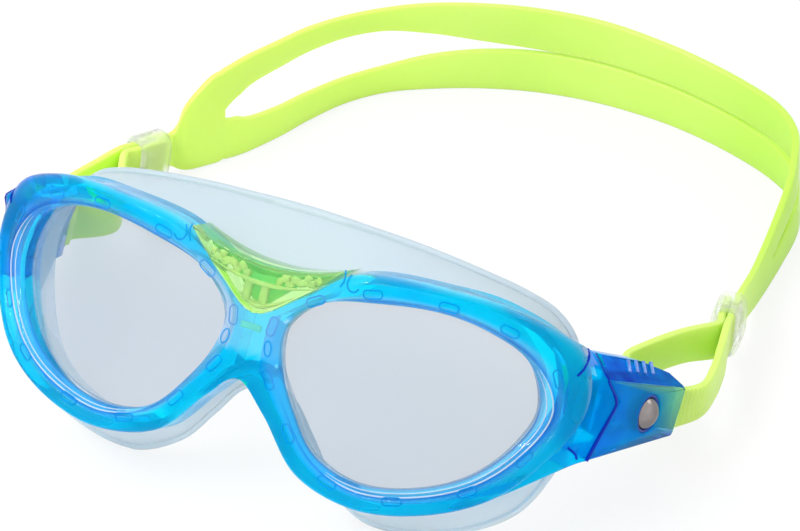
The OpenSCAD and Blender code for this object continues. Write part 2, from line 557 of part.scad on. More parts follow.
leaf_t = 0.4;
leaf_half = 2;
leaf_line = [[plate_top, plate_front + 0.6], [plate_top, 10], [plate_top + 0.5, 11.6],
    [-8.2 - leaf_t, 13.6], [-8.1 - leaf_t, 14.6]];
leaf_outline = concat(leaf_line, [for (k = [len(leaf_line) - 1:-1:0]) leaf_line[k] + [leaf_t, 0]]);
module pawl_spring(side) {
    color("gainsboro") on_buckle(side) upright(0.3 - leaf_half, 0.3 + leaf_half) polygon(leaf_outline);
}

// Keeper: a rounded loop round both runs of the strap
function round_box(a, b, r) = [for (q = [[1, 1, 0], [-1, 1, 90], [-1, -1, 180], [1, -1, 270]], k = [0:4])
    [q[0] * (a - r) + r * cos(q[2] + k * 22.5), q[1] * (b - r) + r * sin(q[2] + k * 22.5)]];
keeper_in = [run_apart + strap_t / 2 + slide_gap, half_strap + slide_gap];
module strap_keeper(side) {
    color("mintcream") standing() on_side(side) translate(keeper_at(side))
        rotate([0, 0, keeper_turn(side)]) rotate([-keeper_fall, 0, 0])
        rotate([90, 0, 0]) linear_extrude(keeper_len, center = true) difference() {
            polygon(round_box(keeper_in[0] + keeper_wall, keeper_in[1] + keeper_wall, keeper_wall));
            polygon(round_box(keeper_in[0], keeper_in[1], 0.3));
        }
}

module head_strap() {
    color("greenyellow") standing() polyhedron(strap_points, strap_faces);
}

front_frame();
lens(1);  // lens_left
lens(-1);  // lens_right
face_skirt();
bridge_clip();
side_arm(1);  // side_arm_left
side_arm(-1);  // side_arm_right
hinge_pin(1);  // hinge_pin_left
hinge_pin(-1);  // hinge_pin_right
buckle_cover(1);  // buckle_cover_left
buckle_cover(-1);  // buckle_cover_right
buckle_base(1);  // buckle_base_left
buckle_base(-1);  // buckle_base_right
button(1);  // button_left
button(-1);  // button_right
pawl(1);  // pawl_left
pawl(-1);  // pawl_right
pawl_pin(1);  // pawl_pin_left
pawl_pin(-1);  // pawl_pin_right
pawl_spring(1);  // pawl_spring_left
pawl_spring(-1);  // pawl_spring_right
strap_keeper(1);  // strap_keeper_left
strap_keeper(-1);  // strap_keeper_right
head_strap();
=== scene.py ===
import math
import bpy
import bmesh
import numpy as np
from mathutils import Matrix, Vector


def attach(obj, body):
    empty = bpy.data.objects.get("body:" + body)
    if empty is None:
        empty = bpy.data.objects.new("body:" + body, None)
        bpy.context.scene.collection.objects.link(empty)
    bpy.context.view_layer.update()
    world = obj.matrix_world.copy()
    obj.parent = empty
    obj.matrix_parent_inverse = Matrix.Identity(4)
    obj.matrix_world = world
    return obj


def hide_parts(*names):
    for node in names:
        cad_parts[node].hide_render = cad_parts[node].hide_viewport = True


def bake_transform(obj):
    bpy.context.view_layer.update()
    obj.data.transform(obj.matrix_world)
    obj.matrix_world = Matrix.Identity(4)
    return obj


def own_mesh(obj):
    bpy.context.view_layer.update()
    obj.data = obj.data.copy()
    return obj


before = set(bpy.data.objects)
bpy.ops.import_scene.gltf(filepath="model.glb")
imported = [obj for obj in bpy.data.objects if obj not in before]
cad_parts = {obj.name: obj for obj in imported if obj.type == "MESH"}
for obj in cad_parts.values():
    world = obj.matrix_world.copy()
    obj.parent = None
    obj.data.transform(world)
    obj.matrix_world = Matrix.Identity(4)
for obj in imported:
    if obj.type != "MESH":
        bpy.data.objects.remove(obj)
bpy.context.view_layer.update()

scene = bpy.context.scene
MM = 0.001
WELD = 1e-6
SIDES = ((1, "left"), (-1, "right"))

# Sizes shared with the solids, in millimetres

# The mask: its wrap round the face, its lean, and its height and place on the table
MASK_W = 150.0
HALF_W = MASK_W / 2
WRAP = 21.1
LEAN = math.radians(28.8)
FRONT_H = 44.4407
SHIFT_Y = -81.6545
FRAME_DEPTH = 9.0
CREST = 1.4
LENS_SEAT = 2.6
LENS_T = 2.0
SEAT_GAP = 0.06
SKIRT_T = 1.4
SKIRT_LIP = 1.3

# The buckle's own axes are outward (o), back (b) and up (z), from the arm's origin
TOE = math.radians(11.5)
ARM = np.array([77.8, 29.3, -0.4])
HINGE_O, HINGE_B, KNUCKLE_R = -5.5, 3.0, 2.3
BAR_O, BAR_B, TURN_R = -6.6, 21.5, 3.4
BUCKLE_LEN = 29.3
BUTTON_B, BUTTON_Z = 14.8, -0.45

# The strap and its keepers, which sit and turn differently on each side
STRAP_W = 9.6
STRAP_T = 1.8
KEEPER_LEN = 9.0
KEEPER_FALL = math.radians(10)
KEEPER_AT = {1: (78.5, 91.7, 11.0), -1: (76.2, 91.7, 8.8)}
KEEPER_TURN = {1: math.radians(11), -1: math.radians(22)}


# Curves and places

def unit(v):
    v = np.asarray(v, float)
    return v / np.linalg.norm(v)


def mix(a, b, t):
    return np.asarray(a, float) * (1 - t) + np.asarray(b, float) * t


def ease(t):
    t = min(max(t, 0.0), 1.0)
    return t * t * (3 - 2 * t)


def fade(value, start, stop):
    """0 before start, 1 past stop, and smooth between."""
    return ease((value - start) / (stop - start))


def smooth_point(a, b, c, d, t):
    """A point between b and c on a smooth curve that also heeds a and d."""
    square = (2 * a - 5 * b + 4 * c - d) * t * t
    cube = (3 * b - a - 3 * c + d) * t ** 3
    return 0.5 * (2 * b + (c - a) * t + square + cube)


def loop_curve(points, n):
    """A smooth closed curve through the points, with n steps between each two."""
    p = np.asarray(points, float)
    m = len(p)
    return np.array([smooth_point(p[i - 1], p[i], p[(i + 1) % m], p[(i + 2) % m], k / n)
                     for i in range(m) for k in range(n)])


def path_curve(points, n, before, after):
    """A smooth open curve through the points; before and after give its direction at the ends."""
    q = np.vstack([[before], points, [after]]).astype(float)
    out = [smooth_point(q[i], q[i + 1], q[i + 2], q[i + 3], k / n)
           for i in range(len(points) - 1) for k in range(n)]
    return np.array(out + [q[-2]])


def wrap_y(x):
    """How far back the mask's face lies at x."""
    r = x / HALF_W
    return WRAP * (0.164 * r ** 2 + 0.836 * r ** 4)


def wrap_slope(x):
    r = x / HALF_W
    return WRAP * (0.328 * r + 3.344 * r ** 3) / HALF_W


def behind(q, d):
    """The point at depth d behind the mask's face, from a point (x, z) of its front view."""
    s = wrap_slope(q[0])
    l = math.hypot(1, s)
    return np.array([q[0] - s * d / l, wrap_y(q[0]) + d / l, q[1]])


def on_table(p):
    p = np.asarray(p, float)
    c, s = math.cos(LEAN), math.sin(LEAN)
    return np.array([p[0], p[1] * c + p[2] * s, -p[1] * s + p[2] * c + FRONT_H])


def standing(p):
    return (np.asarray(p, float) + np.array([0, SHIFT_Y, 0])) * MM


def mask_place(p):
    return standing(on_table(p))


def from_buckle(o, b, z):
    c, s = math.cos(TOE), math.sin(TOE)
    return ARM + np.array([o * c + b * s, -o * s + b * c, z])


def sided(p, side):
    """A point as it is on the left side, or its mirror on the right."""
    p = np.asarray(p, float)
    return p if side > 0 else p * np.array([-1, 1, 1])


def buckle_axes(side):
    """The buckle's origin on the table and the turn into its own axes."""
    def place(o, b, z):
        return np.array(mask_place(sided(from_buckle(o, b, z), side)))

    zero = place(0, 0, 0)
    axes = np.array([place(1, 0, 0) - zero, place(0, 1, 0) - zero, place(0, 0, 1) - zero])
    return zero, np.linalg.inv(axes.T)


# Meshes

def put(name, data):
    """A new object in the scene."""
    ob = bpy.data.objects.new(name, data)
    scene.collection.objects.link(ob)
    return ob


def add_marks(me, marks):
    """Named values at a mesh's points, for its materials to read."""
    for key, values in marks.items():
        at = me.attributes.new(key, "FLOAT", "POINT")
        at.data.foreach_set("value", np.array(values, np.float32))


def make_piece(name, verts, faces, material, sharp=38, merge=True, marks=None):
    me = bpy.data.meshes.new(name)
    me.from_pydata([tuple(v) for v in verts], [], [tuple(f) for f in faces])
    ob = put(name, me)
    add_marks(me, marks or {})
    bm = bmesh.new()
    bm.from_mesh(me)
    if merge:
        bmesh.ops.remove_doubles(bm, verts=bm.verts, dist=WELD)
        bmesh.ops.delete(bm, geom=[v for v in bm.verts if not v.link_faces], context="VERTS")
    bmesh.ops.recalc_face_normals(bm, faces=bm.faces)
    bm.to_mesh(me)
    bm.free()
    shade(me, sharp)
    me.materials.append(material)
    return ob


def shade(me, sharp):
    """Smooth shading that breaks at edges sharper than the angle, in degrees; 0 breaks nowhere."""
    me.polygons.foreach_set("use_smooth", [True] * len(me.polygons))
    if sharp:
        me.set_sharp_from_angle(angle=math.radians(sharp))
    me.update()


def settle(ob):
    """Turns an object with modifiers into a plain mesh."""
    dg = bpy.context.evaluated_depsgraph_get()
    me = bpy.data.meshes.new_from_object(ob.evaluated_get(dg))
    ob.modifiers.clear()
    old = ob.data
    ob.data = me
    bpy.data.meshes.remove(old)
    me.name = ob.name


EASED_ANGLE = math.radians(28)
EASED_SHARP = 32
FLAT_ANGLE = math.radians(0.6)


def eased(node, name, width, material, rounds, least=0):
    """A copy of a moulded solid with its sharp edges rounded, or only those longer than least."""
    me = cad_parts[node].data.copy()
    me.materials.clear()
    ob = put(name, me)
    bm = bmesh.new()
    bm.from_mesh(me)
    bmesh.ops.remove_doubles(bm, verts=bm.verts, dist=2 * WELD)
    bmesh.ops.dissolve_limit(bm, angle_limit=FLAT_ANGLE, verts=bm.verts, edges=bm.edges)
    if least:
        edges = [e for e in bm.edges
                 if e.calc_face_angle(0) > EASED_ANGLE and e.calc_length() > least * MM]
        bmesh.ops.bevel(bm, geom=edges, offset=width * MM, offset_type="OFFSET", segments=rounds,
                        profile=0.5, affect="EDGES", clamp_overlap=False)
    bm.to_mesh(me)
    bm.free()
    if not least:
        bevel = ob.modifiers.new("ease", "BEVEL")
        bevel.width = width * MM
        bevel.segments = rounds
        bevel.limit_method = "ANGLE"
        bevel.angle_limit = EASED_ANGLE
        bevel.use_clamp_overlap = True
        settle(ob)
    shade(ob.data, EASED_SHARP)
    if least:
        weigh = ob.modifiers.new("weigh", "WEIGHTED_NORMAL")
        weigh.keep_sharp = True
        weigh.weight = 100
        settle(ob)
    ob.data.materials.append(material)
    return ob


def ring_faces(n, m, closed=True, skip=None):
    """Faces between n rings of m points each."""
    faces = []
    for i in range(n if closed else n - 1):
        for j in range(m):
            if skip and skip(i, j):
                continue
            a, b = i * m, ((i + 1) % n) * m
            k = (j + 1) % m
            faces.append((a + j, b + j, b + k, a + k))
    return faces


def rounded_block(name, centre, half, turn, material, corner=0.35):
    """A small block with round edges, in the mask's frame, turned in its face."""
    bm = bmesh.new()
    bmesh.ops.create_cube(bm, size=2)
    c, s = math.cos(turn), math.sin(turn)
    for v in bm.verts:
        x, y, z = v.co.x * half[0], v.co.y * half[1], v.co.z * half[2]
        v.co = (x * c - z * s, y, x * s + z * c)
    bmesh.ops.bevel(bm, geom=list(bm.edges), offset=corner, segments=3, affect="EDGES", profile=0.5)
    for v in bm.verts:
        v.co = mask_place(np.array(v.co) + centre)
    me = bpy.data.meshes.new(name)
    bm.to_mesh(me)
    bm.free()
    shade(me, 40)
    me.materials.append(material)
    return put(name, me)


def joined(name, pieces):
    """One piece made of several that share a finish."""
    bm = bmesh.new()
    for ob in pieces:
        bm.from_mesh(ob.data)
    me = bpy.data.meshes.new(name)
    bm.to_mesh(me)
    bm.free()
    me.materials.append(pieces[0].data.materials[0])
    for ob in pieces:
        old = ob.data
        bpy.data.objects.remove(ob)
        bpy.data.meshes.remove(old)
    shade(me, 40)
    return put(name, me)


def tube(name, points, radius, material, sides=8):
    """A round line through the points, in the mask's frame; radius is one value or one for each point."""
    pts = np.asarray(points, float)
    verts = []
    for i, p in enumerate(pts):
        t = unit(pts[min(i + 1, len(pts) - 1)] - pts[max(i - 1, 0)])
        a = unit(np.cross(t, [0, 1, 0.01]))
        b = np.cross(t, a)
        r = radius if np.isscalar(radius) else radius[i]
        for k in range(sides):
            w = 2 * math.pi * k / sides
            verts.append(mask_place(p + r * (a * math.cos(w) + b * math.sin(w))))
    faces = ring_faces(len(pts), sides, False)
    faces += [tuple(range(sides)), tuple(len(verts) - sides + k for k in range(sides))]
    return make_piece(name, verts, faces, material, 50)


# Finishes: nodes that several of them use

def feed(nt, socket, value):
    """Joins an output to an input, or sets the input to a plain value."""
    if isinstance(value, bpy.types.NodeSocket):
        nt.links.new(value, socket)
    else:
        socket.default_value = value


def reckon(nt, operation, *values):
    """The result of a sum, product and so on of numbers and outputs."""
    node = nt.nodes.new("ShaderNodeMath")
    node.operation = operation
    for socket, value in zip(node.inputs, values):
        feed(nt, socket, value)
    return node.outputs[0]


def ramp(nt, value, low, high, first=0.0, last=1.0, soft=False):
    """A value carried from the range low to high onto the range first to last."""
    node = nt.nodes.new("ShaderNodeMapRange")
    if soft:
        node.interpolation_type = "SMOOTHSTEP"
    inputs = {"Value": value, "From Min": low, "From Max": high, "To Min": first, "To Max": last}
    for key, given in inputs.items():
        feed(nt, node.inputs[key], given)
    return node.outputs["Result"]


# A colour mix node's inputs for the share and the two colours, and its colour output
MIX_SHARE, MIX_FIRST, MIX_SECOND, MIX_RESULT = 0, 6, 7, 2


def two_tone(nt, share, first, second):
    """A colour that turns from the first to the second; the first may be an output."""
    node = nt.nodes.new("ShaderNodeMix")
    node.data_type = "RGBA"
    feed(nt, node.inputs[MIX_SHARE], share)
    feed(nt, node.inputs[MIX_FIRST], first if isinstance(first, bpy.types.NodeSocket) else (*first, 1))
    feed(nt, node.inputs[MIX_SECOND], (*second, 1))
    return node.outputs[MIX_RESULT]


def mark(nt, name):
    """A piece's own named values."""
    node = nt.nodes.new("ShaderNodeAttribute")
    node.attribute_name = name
    return node.outputs["Fac"]


def object_axes(nt):
    """The place on the object, as three outputs."""
    place, axes = nt.nodes.new("ShaderNodeTexCoord"), nt.nodes.new("ShaderNodeSeparateXYZ")
    feed(nt, axes.inputs[0], place.outputs["Object"])
    return axes.outputs


def raised(nt, height, strength, distance):
    """A normal that follows a height."""
    node = nt.nodes.new("ShaderNodeBump")
    for key, value in {"Strength": strength, "Distance": distance, "Height": height}.items():
        feed(nt, node.inputs[key], value)
    return node.outputs["Normal"]


CLOUD_DETAIL, RIPPLE_DETAIL = 3, 2
RIPPLE_FINER = 9


def mottle_group():
    """Soft mottling of a moulded plastic: a value round 1 and a faint surface ripple."""
    g = bpy.data.node_groups.new("mould_mottle", "ShaderNodeTree")
    for key, way, value in (("Scale", "INPUT", 60), ("Strength", "INPUT", 0.1),
                            ("Value", "OUTPUT", 0), ("Ripple", "OUTPUT", 0)):
        g.interface.new_socket(key, in_out=way, socket_type="NodeSocketFloat").default_value = value
    given, result = g.nodes.new("NodeGroupInput"), g.nodes.new("NodeGroupOutput")
    place = g.nodes.new("ShaderNodeTexCoord")

    def noise(scale, detail):
        node = g.nodes.new("ShaderNodeTexNoise")
        for key, value in {"Vector": place.outputs["Object"], "Scale": scale, "Detail": detail}.items():
            feed(g, node.inputs[key], value)
        return node.outputs["Fac"]

    cloud = noise(given.outputs["Scale"], CLOUD_DETAIL)
    swing = reckon(g, "MULTIPLY", reckon(g, "SUBTRACT", cloud, 0.5), given.outputs["Strength"])
    feed(g, result.inputs["Value"], reckon(g, "ADD", swing, 1.0))
    finer = reckon(g, "MULTIPLY", given.outputs["Scale"], RIPPLE_FINER)
    feed(g, result.inputs["Ripple"], noise(finer, RIPPLE_DETAIL))
    return g


MOTTLE = mottle_group()


def new_material(name):
    m = bpy.data.materials.new(name)
    m.use_nodes = True
    return m, m.node_tree


def finish(m, values):
    """Sets or joins the inputs of a material's surface."""
    for key, value in values.items():
        feed(m.node_tree, m.node_tree.nodes["Principled BSDF"].inputs[key], value)
    return m


def drifting(nt, colour, second, scale, strength, spread):
    """The outputs of a mottle, and a colour that drifts with it between two tones."""
    node = nt.nodes.new("ShaderNodeGroup")
    node.node_tree = MOTTLE
    node.inputs["Scale"].default_value = scale
    node.inputs["Strength"].default_value = strength
    share = ramp(nt, node.outputs["Value"], 1 - spread, 1 + spread)
    return node.outputs, two_tone(nt, share, colour, second)


TINT_SPREAD = 0.3
EDGE_SHARE = 0.85


def tinted(name, colour, second, rough=0.06, transmission=0.8, ior=1.4, scale=45, strength=0.5, bump=0.0,
           bump_depth=0.0003, alpha=1.0, coat=0.0, shine=0.5):
    """Clear or cloudy moulded plastic whose tint drifts between two colours."""
    m, nt = new_material(name)
    clouds, tone = drifting(nt, colour, second, scale, strength, TINT_SPREAD * strength)
    if bump:
        finish(m, {"Normal": raised(nt, clouds["Ripple"], bump, bump_depth)})
    return finish(m, {"Base Color": tone, "Roughness": reckon(nt, "MULTIPLY", clouds["Value"], rough),
                      "Transmission Weight": transmission, "IOR": ior, "Alpha": alpha, "Coat Weight": coat,
                      "Specular IOR Level": shine})


def metal_finish(name, colour, second, rough, scale):
    m, nt = new_material(name)
    clouds, tone = drifting(nt, colour, second, scale, 0.6, 0.2)
    return finish(m, {"Base Color": tone, "Metallic": 0.9,
                      "Roughness": reckon(nt, "MULTIPLY", clouds["Value"], rough)})


def tint(m, share, tone):
    """Mixes another tone into a finish, by a share that changes over the piece."""
    base = m.node_tree.nodes["Principled BSDF"].inputs["Base Color"]
    return finish(m, {"Base Color": two_tone(m.node_tree, share, base.links[0].from_socket, tone)})


def mark_tint(m, tones):
    """Mixes other tones into a finish at the marked places of a piece."""
    for name, tone in tones.items():
        tint(m, mark(m.node_tree, name), tone)
    return m


def grazing_light_tint(m, tone, start):
    """Paints another tone onto a finish where it is seen edge on, as painted light at grazing angles: a pale
    reflection on the frame, shade on the button.
    """
    edge = m.node_tree.nodes.new("ShaderNodeLayerWeight")
    edge.inputs["Blend"].default_value = 0.5
    return tint(m, ramp(m.node_tree, edge.outputs["Facing"], start, 1.0, 0.0, EDGE_SHARE), tone)


def height_light_tint(m, tone, low, high):
    """Paints light and shade as a drift to another tone from one height to another."""
    return tint(m, ramp(m.node_tree, object_axes(m.node_tree)["Z"], low, high), tone)


RIB_PITCH = 0.0011


def strap_finish():
    """Satin silicone: neon green, with painted light making it brighter to the right and painted shade making
    it deeper at the left rear, ribbed near the buckles.
    """
    m, nt = new_material("strap_green")
    clouds, tone = drifting(nt, (0.53, 0.79, 0.12), (0.59, 0.82, 0.17), 30, 0.5, 0.15)
    axes = object_axes(nt)
    # Painted light on the right run, which turns brighter, and painted shade at the left rear, which turns
    # deeper
    right = ramp(nt, axes["X"], -0.06, -0.01, 1, 0, soft=True)
    left, rear = ramp(nt, axes["X"], 0.02, 0.065, soft=True), ramp(nt, axes["Y"], 0.01, 0.04, soft=True)
    tone = two_tone(nt, right, tone, (0.64, 0.93, 0.14))
    tone = two_tone(nt, reckon(nt, "MULTIPLY", left, rear), tone, (0.46, 0.73, 0.085))
    wave = reckon(nt, "SINE", reckon(nt, "MULTIPLY", mark(nt, "run"), 2 * math.pi / RIB_PITCH))
    ribs = reckon(nt, "MULTIPLY", wave, mark(nt, "ribs"))
    height = reckon(nt, "MULTIPLY_ADD", clouds["Ripple"], 0.08, ribs)
    return finish(m, {"Base Color": tone, "Roughness": 0.42, "Subsurface Weight": 0.5,
                      "Subsurface Scale": 0.004, "Subsurface Radius": (1.0, 1.0, 0.3),
                      "Normal": raised(nt, height, 0.5, 0.0002)})


# Finishes of the pieces

# Painted lilac reflection where the frame and ears are seen edge on
LILAC_EDGE_REFLECTION = (0.66, 0.70, 1.0)
LILAC_REFLECTION_START = 0.62

# Clear azure, paler on the ledge round the lenses as painted reflection, cool white on the upper wall as a
# painted highlight, darker in lines of painted shade at the lip's edges, and lilac as a painted reflection
# where seen edge on
FRAME_BLUE = tinted("frame_blue", (0.0, 0.55, 1.0), (0.0, 0.80, 1.0), rough=0.03, transmission=0.86, ior=1.12,
                    bump=0.06, bump_depth=0.0004, coat=0.06, shine=0.2)
mark_tint(FRAME_BLUE, {"ledge": (0.30, 0.74, 1.0), "wall": (0.78, 0.84, 1.0), "lip_edge_shade": (0.0, 0.20, 0.82)})
grazing_light_tint(FRAME_BLUE, LILAC_EDGE_REFLECTION, LILAC_REFLECTION_START)
EAR_BLUE = tinted("temple_ear", (0.0, 0.40, 1.0), (0.0, 0.62, 1.0), rough=0.05, transmission=0.7, ior=1.08,
                  scale=90, strength=1.2, bump=0.05, shine=0.1)
grazing_light_tint(EAR_BLUE, LILAC_EDGE_REFLECTION, LILAC_REFLECTION_START)
# Navy: painted shade on the ears' end walls and in the gaps to the buckles, and the colour of the fine arcs
# on the ears
EAR_NAVY = tinted("ear_end_navy", (0.0, 0.02, 0.42), (0.0, 0.04, 0.5), rough=0.1, transmission=0.2, ior=1.2)
SLOT_BLUE = tinted("anchor_outline", (0.0, 0.40, 0.92), (0.0, 0.46, 0.95), rough=0.1, transmission=0.5,
                   ior=1.3)
# Pale beads as painted highlight lines along the lip
BEAD_HIGHLIGHT = tinted("lip_bead", (0.72, 0.86, 0.98), (0.82, 0.92, 1.0), transmission=0.5, ior=1.3, scale=40,
                   coat=0.6)
TAB_GREEN = tinted("bridge_tab", (0.18, 0.74, 0.62), (0.24, 0.80, 0.68), rough=0.08, transmission=0.5,
                   ior=1.25, scale=90)

# Clear blue with the strap's green showing through the rear end, and a deep facet with grip ribs
COVER_BLUE = tinted("buckle_cover", (0.0, 0.36, 1.0), (0.0, 0.56, 1.0), rough=0.04, transmission=0.7,
                    ior=1.08, scale=110, strength=1.0, bump=0.05, shine=0.04)
mark_tint(COVER_BLUE, {"rear": (0.30, 0.94, 0.46), "lip": (0.34, 0.74, 0.62), "foot": (0.10, 0.12, 0.62)})
FACET_NAVY = tinted("buckle_facet", (0.0, 0.03, 0.46), (0.0, 0.24, 1.0), rough=0.05, transmission=0.55,
                    ior=1.08, scale=130, strength=1.6, bump=0.05, shine=0.04)
GRIP_NAVY = tinted("grip_rib", (0.0, 0.03, 0.42), (0.2, 0.42, 0.95), rough=0.05, transmission=0.1, scale=300,
                   strength=1.6, coat=0.9)
BASE_BLUE = tinted("buckle_blue", (0.0, 0.27, 0.93), (0.0, 0.38, 1.0), rough=0.05, transmission=0.6, ior=1.2,
                   scale=90, strength=0.8, bump=0.05, coat=0.1)
# Painted shade: a dark ring in the recess round the button
RECESS_SHADE = tinted("button_recess_shade", (0.0, 0.03, 0.34), (0.0, 0.08, 0.52), rough=0.12, transmission=0.2,
                     ior=1.3, scale=90, strength=0.6, coat=0.1)
BUTTON_PEWTER = metal_finish("button_pewter", (0.20, 0.175, 0.175), (0.38, 0.345, 0.34), 0.2, 260)
# Painted shade: the dome turns near black where it is seen edge on
grazing_light_tint(BUTTON_PEWTER, (0.03, 0.022, 0.03), 0.12)
PIN_STEEL = metal_finish("pin_steel", (0.62, 0.63, 0.65), (0.72, 0.73, 0.75), 0.3, 400)
PAWL_PALE = tinted("pawl_plastic", (0.72, 0.74, 0.78), (0.8, 0.82, 0.85), rough=0.4, transmission=0.0,
                   ior=1.45, scale=120, strength=0.4, bump=0.1)

# Clear lenses, pale silicone, the green clip and strap, and the clouded keepers
LENS_CLEAR = tinted("lens_clear", (0.02, 0.15, 0.30), (0.06, 0.20, 0.36), rough=0.03, transmission=0.0,
                    ior=1.35, scale=14, strength=0.6, alpha=0.205)
# Painted light: a pale sheet that stands in for the light on the frame's inner wall
LENS_LIGHT_SHEET = tinted("lens_light_sheet", (0.76, 0.86, 0.97), (0.88, 0.93, 1.0), rough=0.2, transmission=0.5,
                     ior=1.2, scale=60, strength=0.9, bump=0.05, alpha=0.45)
SKIRT_PALE = tinted("skirt_silicone", (0.72, 0.82, 0.89), (0.80, 0.88, 0.93), rough=0.34, transmission=0.35,
                    ior=1.35, scale=25, bump=0.05, alpha=0.84)
# Painted light and shade: the skirt darker towards the top, which is lit more, and lighter at the bottom,
# which lies in shade
height_light_tint(SKIRT_PALE, (0.60, 0.71, 0.78), 0.012, 0.05)
CLIP_GREEN = tinted("clip_green", (0.50, 0.93, 0.40), (0.70, 0.98, 0.38), rough=0.04, transmission=0.94,
                    ior=1.2, scale=120, strength=0.9, bump=0.05, coat=0.3)
CLIP_TEAL = tinted("clip_insert", (0.20, 0.80, 0.46), (0.50, 0.94, 0.36), rough=0.12, transmission=0.7,
                   ior=1.2, scale=170, strength=1.2)
CLIP_BRIGHT = tinted("clip_ribs", (0.92, 1.0, 0.5), (1.0, 1.0, 0.92), rough=0.1, transmission=0.4, ior=1.3,
                     scale=220, strength=0.9)
STRAP_GREEN = strap_finish()
KEEPER_CLEAR = tinted("keeper_clear", (0.88, 0.90, 0.86), (0.95, 0.96, 0.93), rough=0.2, transmission=0.85,
                      ior=1.2, scale=90, strength=0.6, bump=0.08, alpha=0.62)


# Front frame with its temple ears, one moulding

STEPS = 10
EYE = np.array([[66, -1], [61.5, 9], [52, 13.6], [41, 15], [28, 13.4], [15, 10], [7.6, 2.5],
                [8, -6], [13, -15.5], [20.5, -24], [32, -27.2], [45, -24.8], [56, -19], [63.5, -10]])
EDGE = np.array([[74.2, 0], [71.3, 13.2], [58, 19.3], [43, 20.5], [22, 18.6], [10.5, 10.2], [0, 3.5],
                 [0, -11.6], [7.5, -18], [17.5, -29], [32.5, -32.8], [47.5, -30.1], [60, -23.7],
                 [68.2, -13.9]])
CORNERS = len(EDGE)
V_TIP, NOTCH = 6, 7
STATIONS = CORNERS * STEPS

# The front's rise from the lip to the outer edge, as shares of the way and depths, and the back of the frame
RISE = [(0, -0.1), (0.09, -0.34), (0.18, -0.7), (0.29, -1.1), (0.4, -1.34), (0.53, -1.42), (0.66, -1.3),
        (0.78, -0.98), (0.9, -0.4), (0.97, 0.3), (1, 1.0)]
BACK_PROFILE = [(0.81, FRAME_DEPTH), (0.62, FRAME_DEPTH), (0.62, 6), (0.62, LENS_SEAT), (0.3, LENS_SEAT)]
LIP_COUNT = 6
FRONT_COUNT = LIP_COUNT + len(RISE)
WALL_COUNT = 8
LIP_THIN, LIP_WIDE = 0.05, 0.2
LEDGE_SHARE = 0.16
# How far the ledge's painted reflection reaches onto the first points of the rise
LEDGE_FADE = {LIP_COUNT: 0.6, LIP_COUNT + 1: 0.2}
WALL_DRAFT = 1.1

# Heights over which the bridge's panel and the upper wall turn pale as painted reflection and painted
# highlight, and strengths of the marks: the panel's painted reflection and the painted dark lines at the
# lip's edge and the lens seat
PANEL_FADE, PALE_FADE = (-5.8, -4.4), (-4, 7)
PANEL_REFLECTION, LIP_LINE_SHADE, SEAT_LINE_SHADE = 0.7, 0.9, 0.35

# The bridge is flatter: its crest, its swell over the nose, and how far along the outline it fades
BRIDGE_CREST = 0.85 * CREST
NOSE_SWELL, NOSE_START, NOSE_STOP = 0.45, -4.6, -6.2
BRIDGE_FALL = 2.2

# The V between ear and buckle, as points (b, z), and the slope of the buckle's facet above it
CHEVRON = np.array([[-7.7, -10.2], [0, 3], [-7, 8.6], [-6.5, 13.1]])
CHEVRON_STOPS = (0, 0.6, 0.8, 1)
TIP_ROUND, TIP_END = 0.05, 0.06
FACET = 0.94
EAR_INSIDE = -7.4
EAR_BROW, EAR_CHEEK, EAR_FALL = 1.9, 2.1, 1.15
EAR_BULGE = np.array([0.45, -0.45, 0])
EAR_END = (4, 5)
EAR_TONE_B, EAR_TONE_O = -9.5, -7


def frame_outlines():
    """The line of an eye opening and the frame's outer line beside it, station by station."""
    eye = loop_curve(EYE, STEPS)
    order = np.roll(EDGE, -NOTCH, axis=0)
    path = path_curve(order, STEPS, EDGE[NOTCH + 1] * [-1, 1], EDGE[V_TIP - 1] * [-1, 1])
    edge = []
    for i in range(STATIONS):
        if i < V_TIP * STEPS:
            edge.append(path[(CORNERS - NOTCH) * STEPS + i])
        elif i < NOTCH * STEPS:
            edge.append(mix(EDGE[V_TIP], EDGE[NOTCH], (i - V_TIP * STEPS) / STEPS))
        else:
            edge.append(path[i - NOTCH * STEPS])
    return eye, np.array(edge)


EYE_LINE, EDGE_LINE = frame_outlines()


def face_point(i, u, d):
    """A point at a share u of the way from the opening to the outer edge, at depth d."""
    k = i % STATIONS
    return behind(mix(EYE_LINE[k], EDGE_LINE[k], u), d)


def from_temple(i):
    """Stations counted from the temple: over the brow above 0, under the cheek below 0."""
    return i if i <= STATIONS // 2 else i - STATIONS


def around(i, centre, reach, fall):
    """1 within so many corners of a place on the outline, fading to 0 over the next ones."""
    return 1 - ease((abs(from_temple(i) / STEPS - centre) - reach) / fall)


def bridge_share(i):
    """1 on the bridge, fading out along brow and nose."""
    away = max(V_TIP * STEPS - i, i - NOTCH * STEPS, 0)
    return 1 - ease(away / (BRIDGE_FALL * STEPS))


def lip_share(i):
    """The sloping lip round the opening: wide at temple and cheek, thin at nose and brow."""
    return around(i, -2, 1.9, 1.4)


def ear_reach(k):
    """How much of the ear a station carries: all of it behind the temple, fading along brow and cheek."""
    t = (abs(k) - STEPS) / ((EAR_BROW if k > 0 else EAR_CHEEK) * STEPS)
    return 1 if t <= 0 else max(1 - t, 0) ** EAR_FALL


def chevron_at(t):
    """The V's line from its foot to the top, t from 0 to 1."""
    for k, (start, stop) in enumerate(zip(CHEVRON_STOPS, CHEVRON_STOPS[1:])):
        if t <= stop:
            return mix(CHEVRON[k], CHEVRON[k + 1], (t - start) / (stop - start))
    return CHEVRON[-1]


def ear_line(t):
    """A point (o, b, z) on the V, with its tip a little rounded."""
    c = chevron_at(t)
    if TIP_END < t < 1 - TIP_END:
        c = 0.5 * c + 0.25 * (chevron_at(t - TIP_ROUND) + chevron_at(t + TIP_ROUND))
    return -max(c[1] - CHEVRON[2][1], 0) / FACET, c[0], c[1]


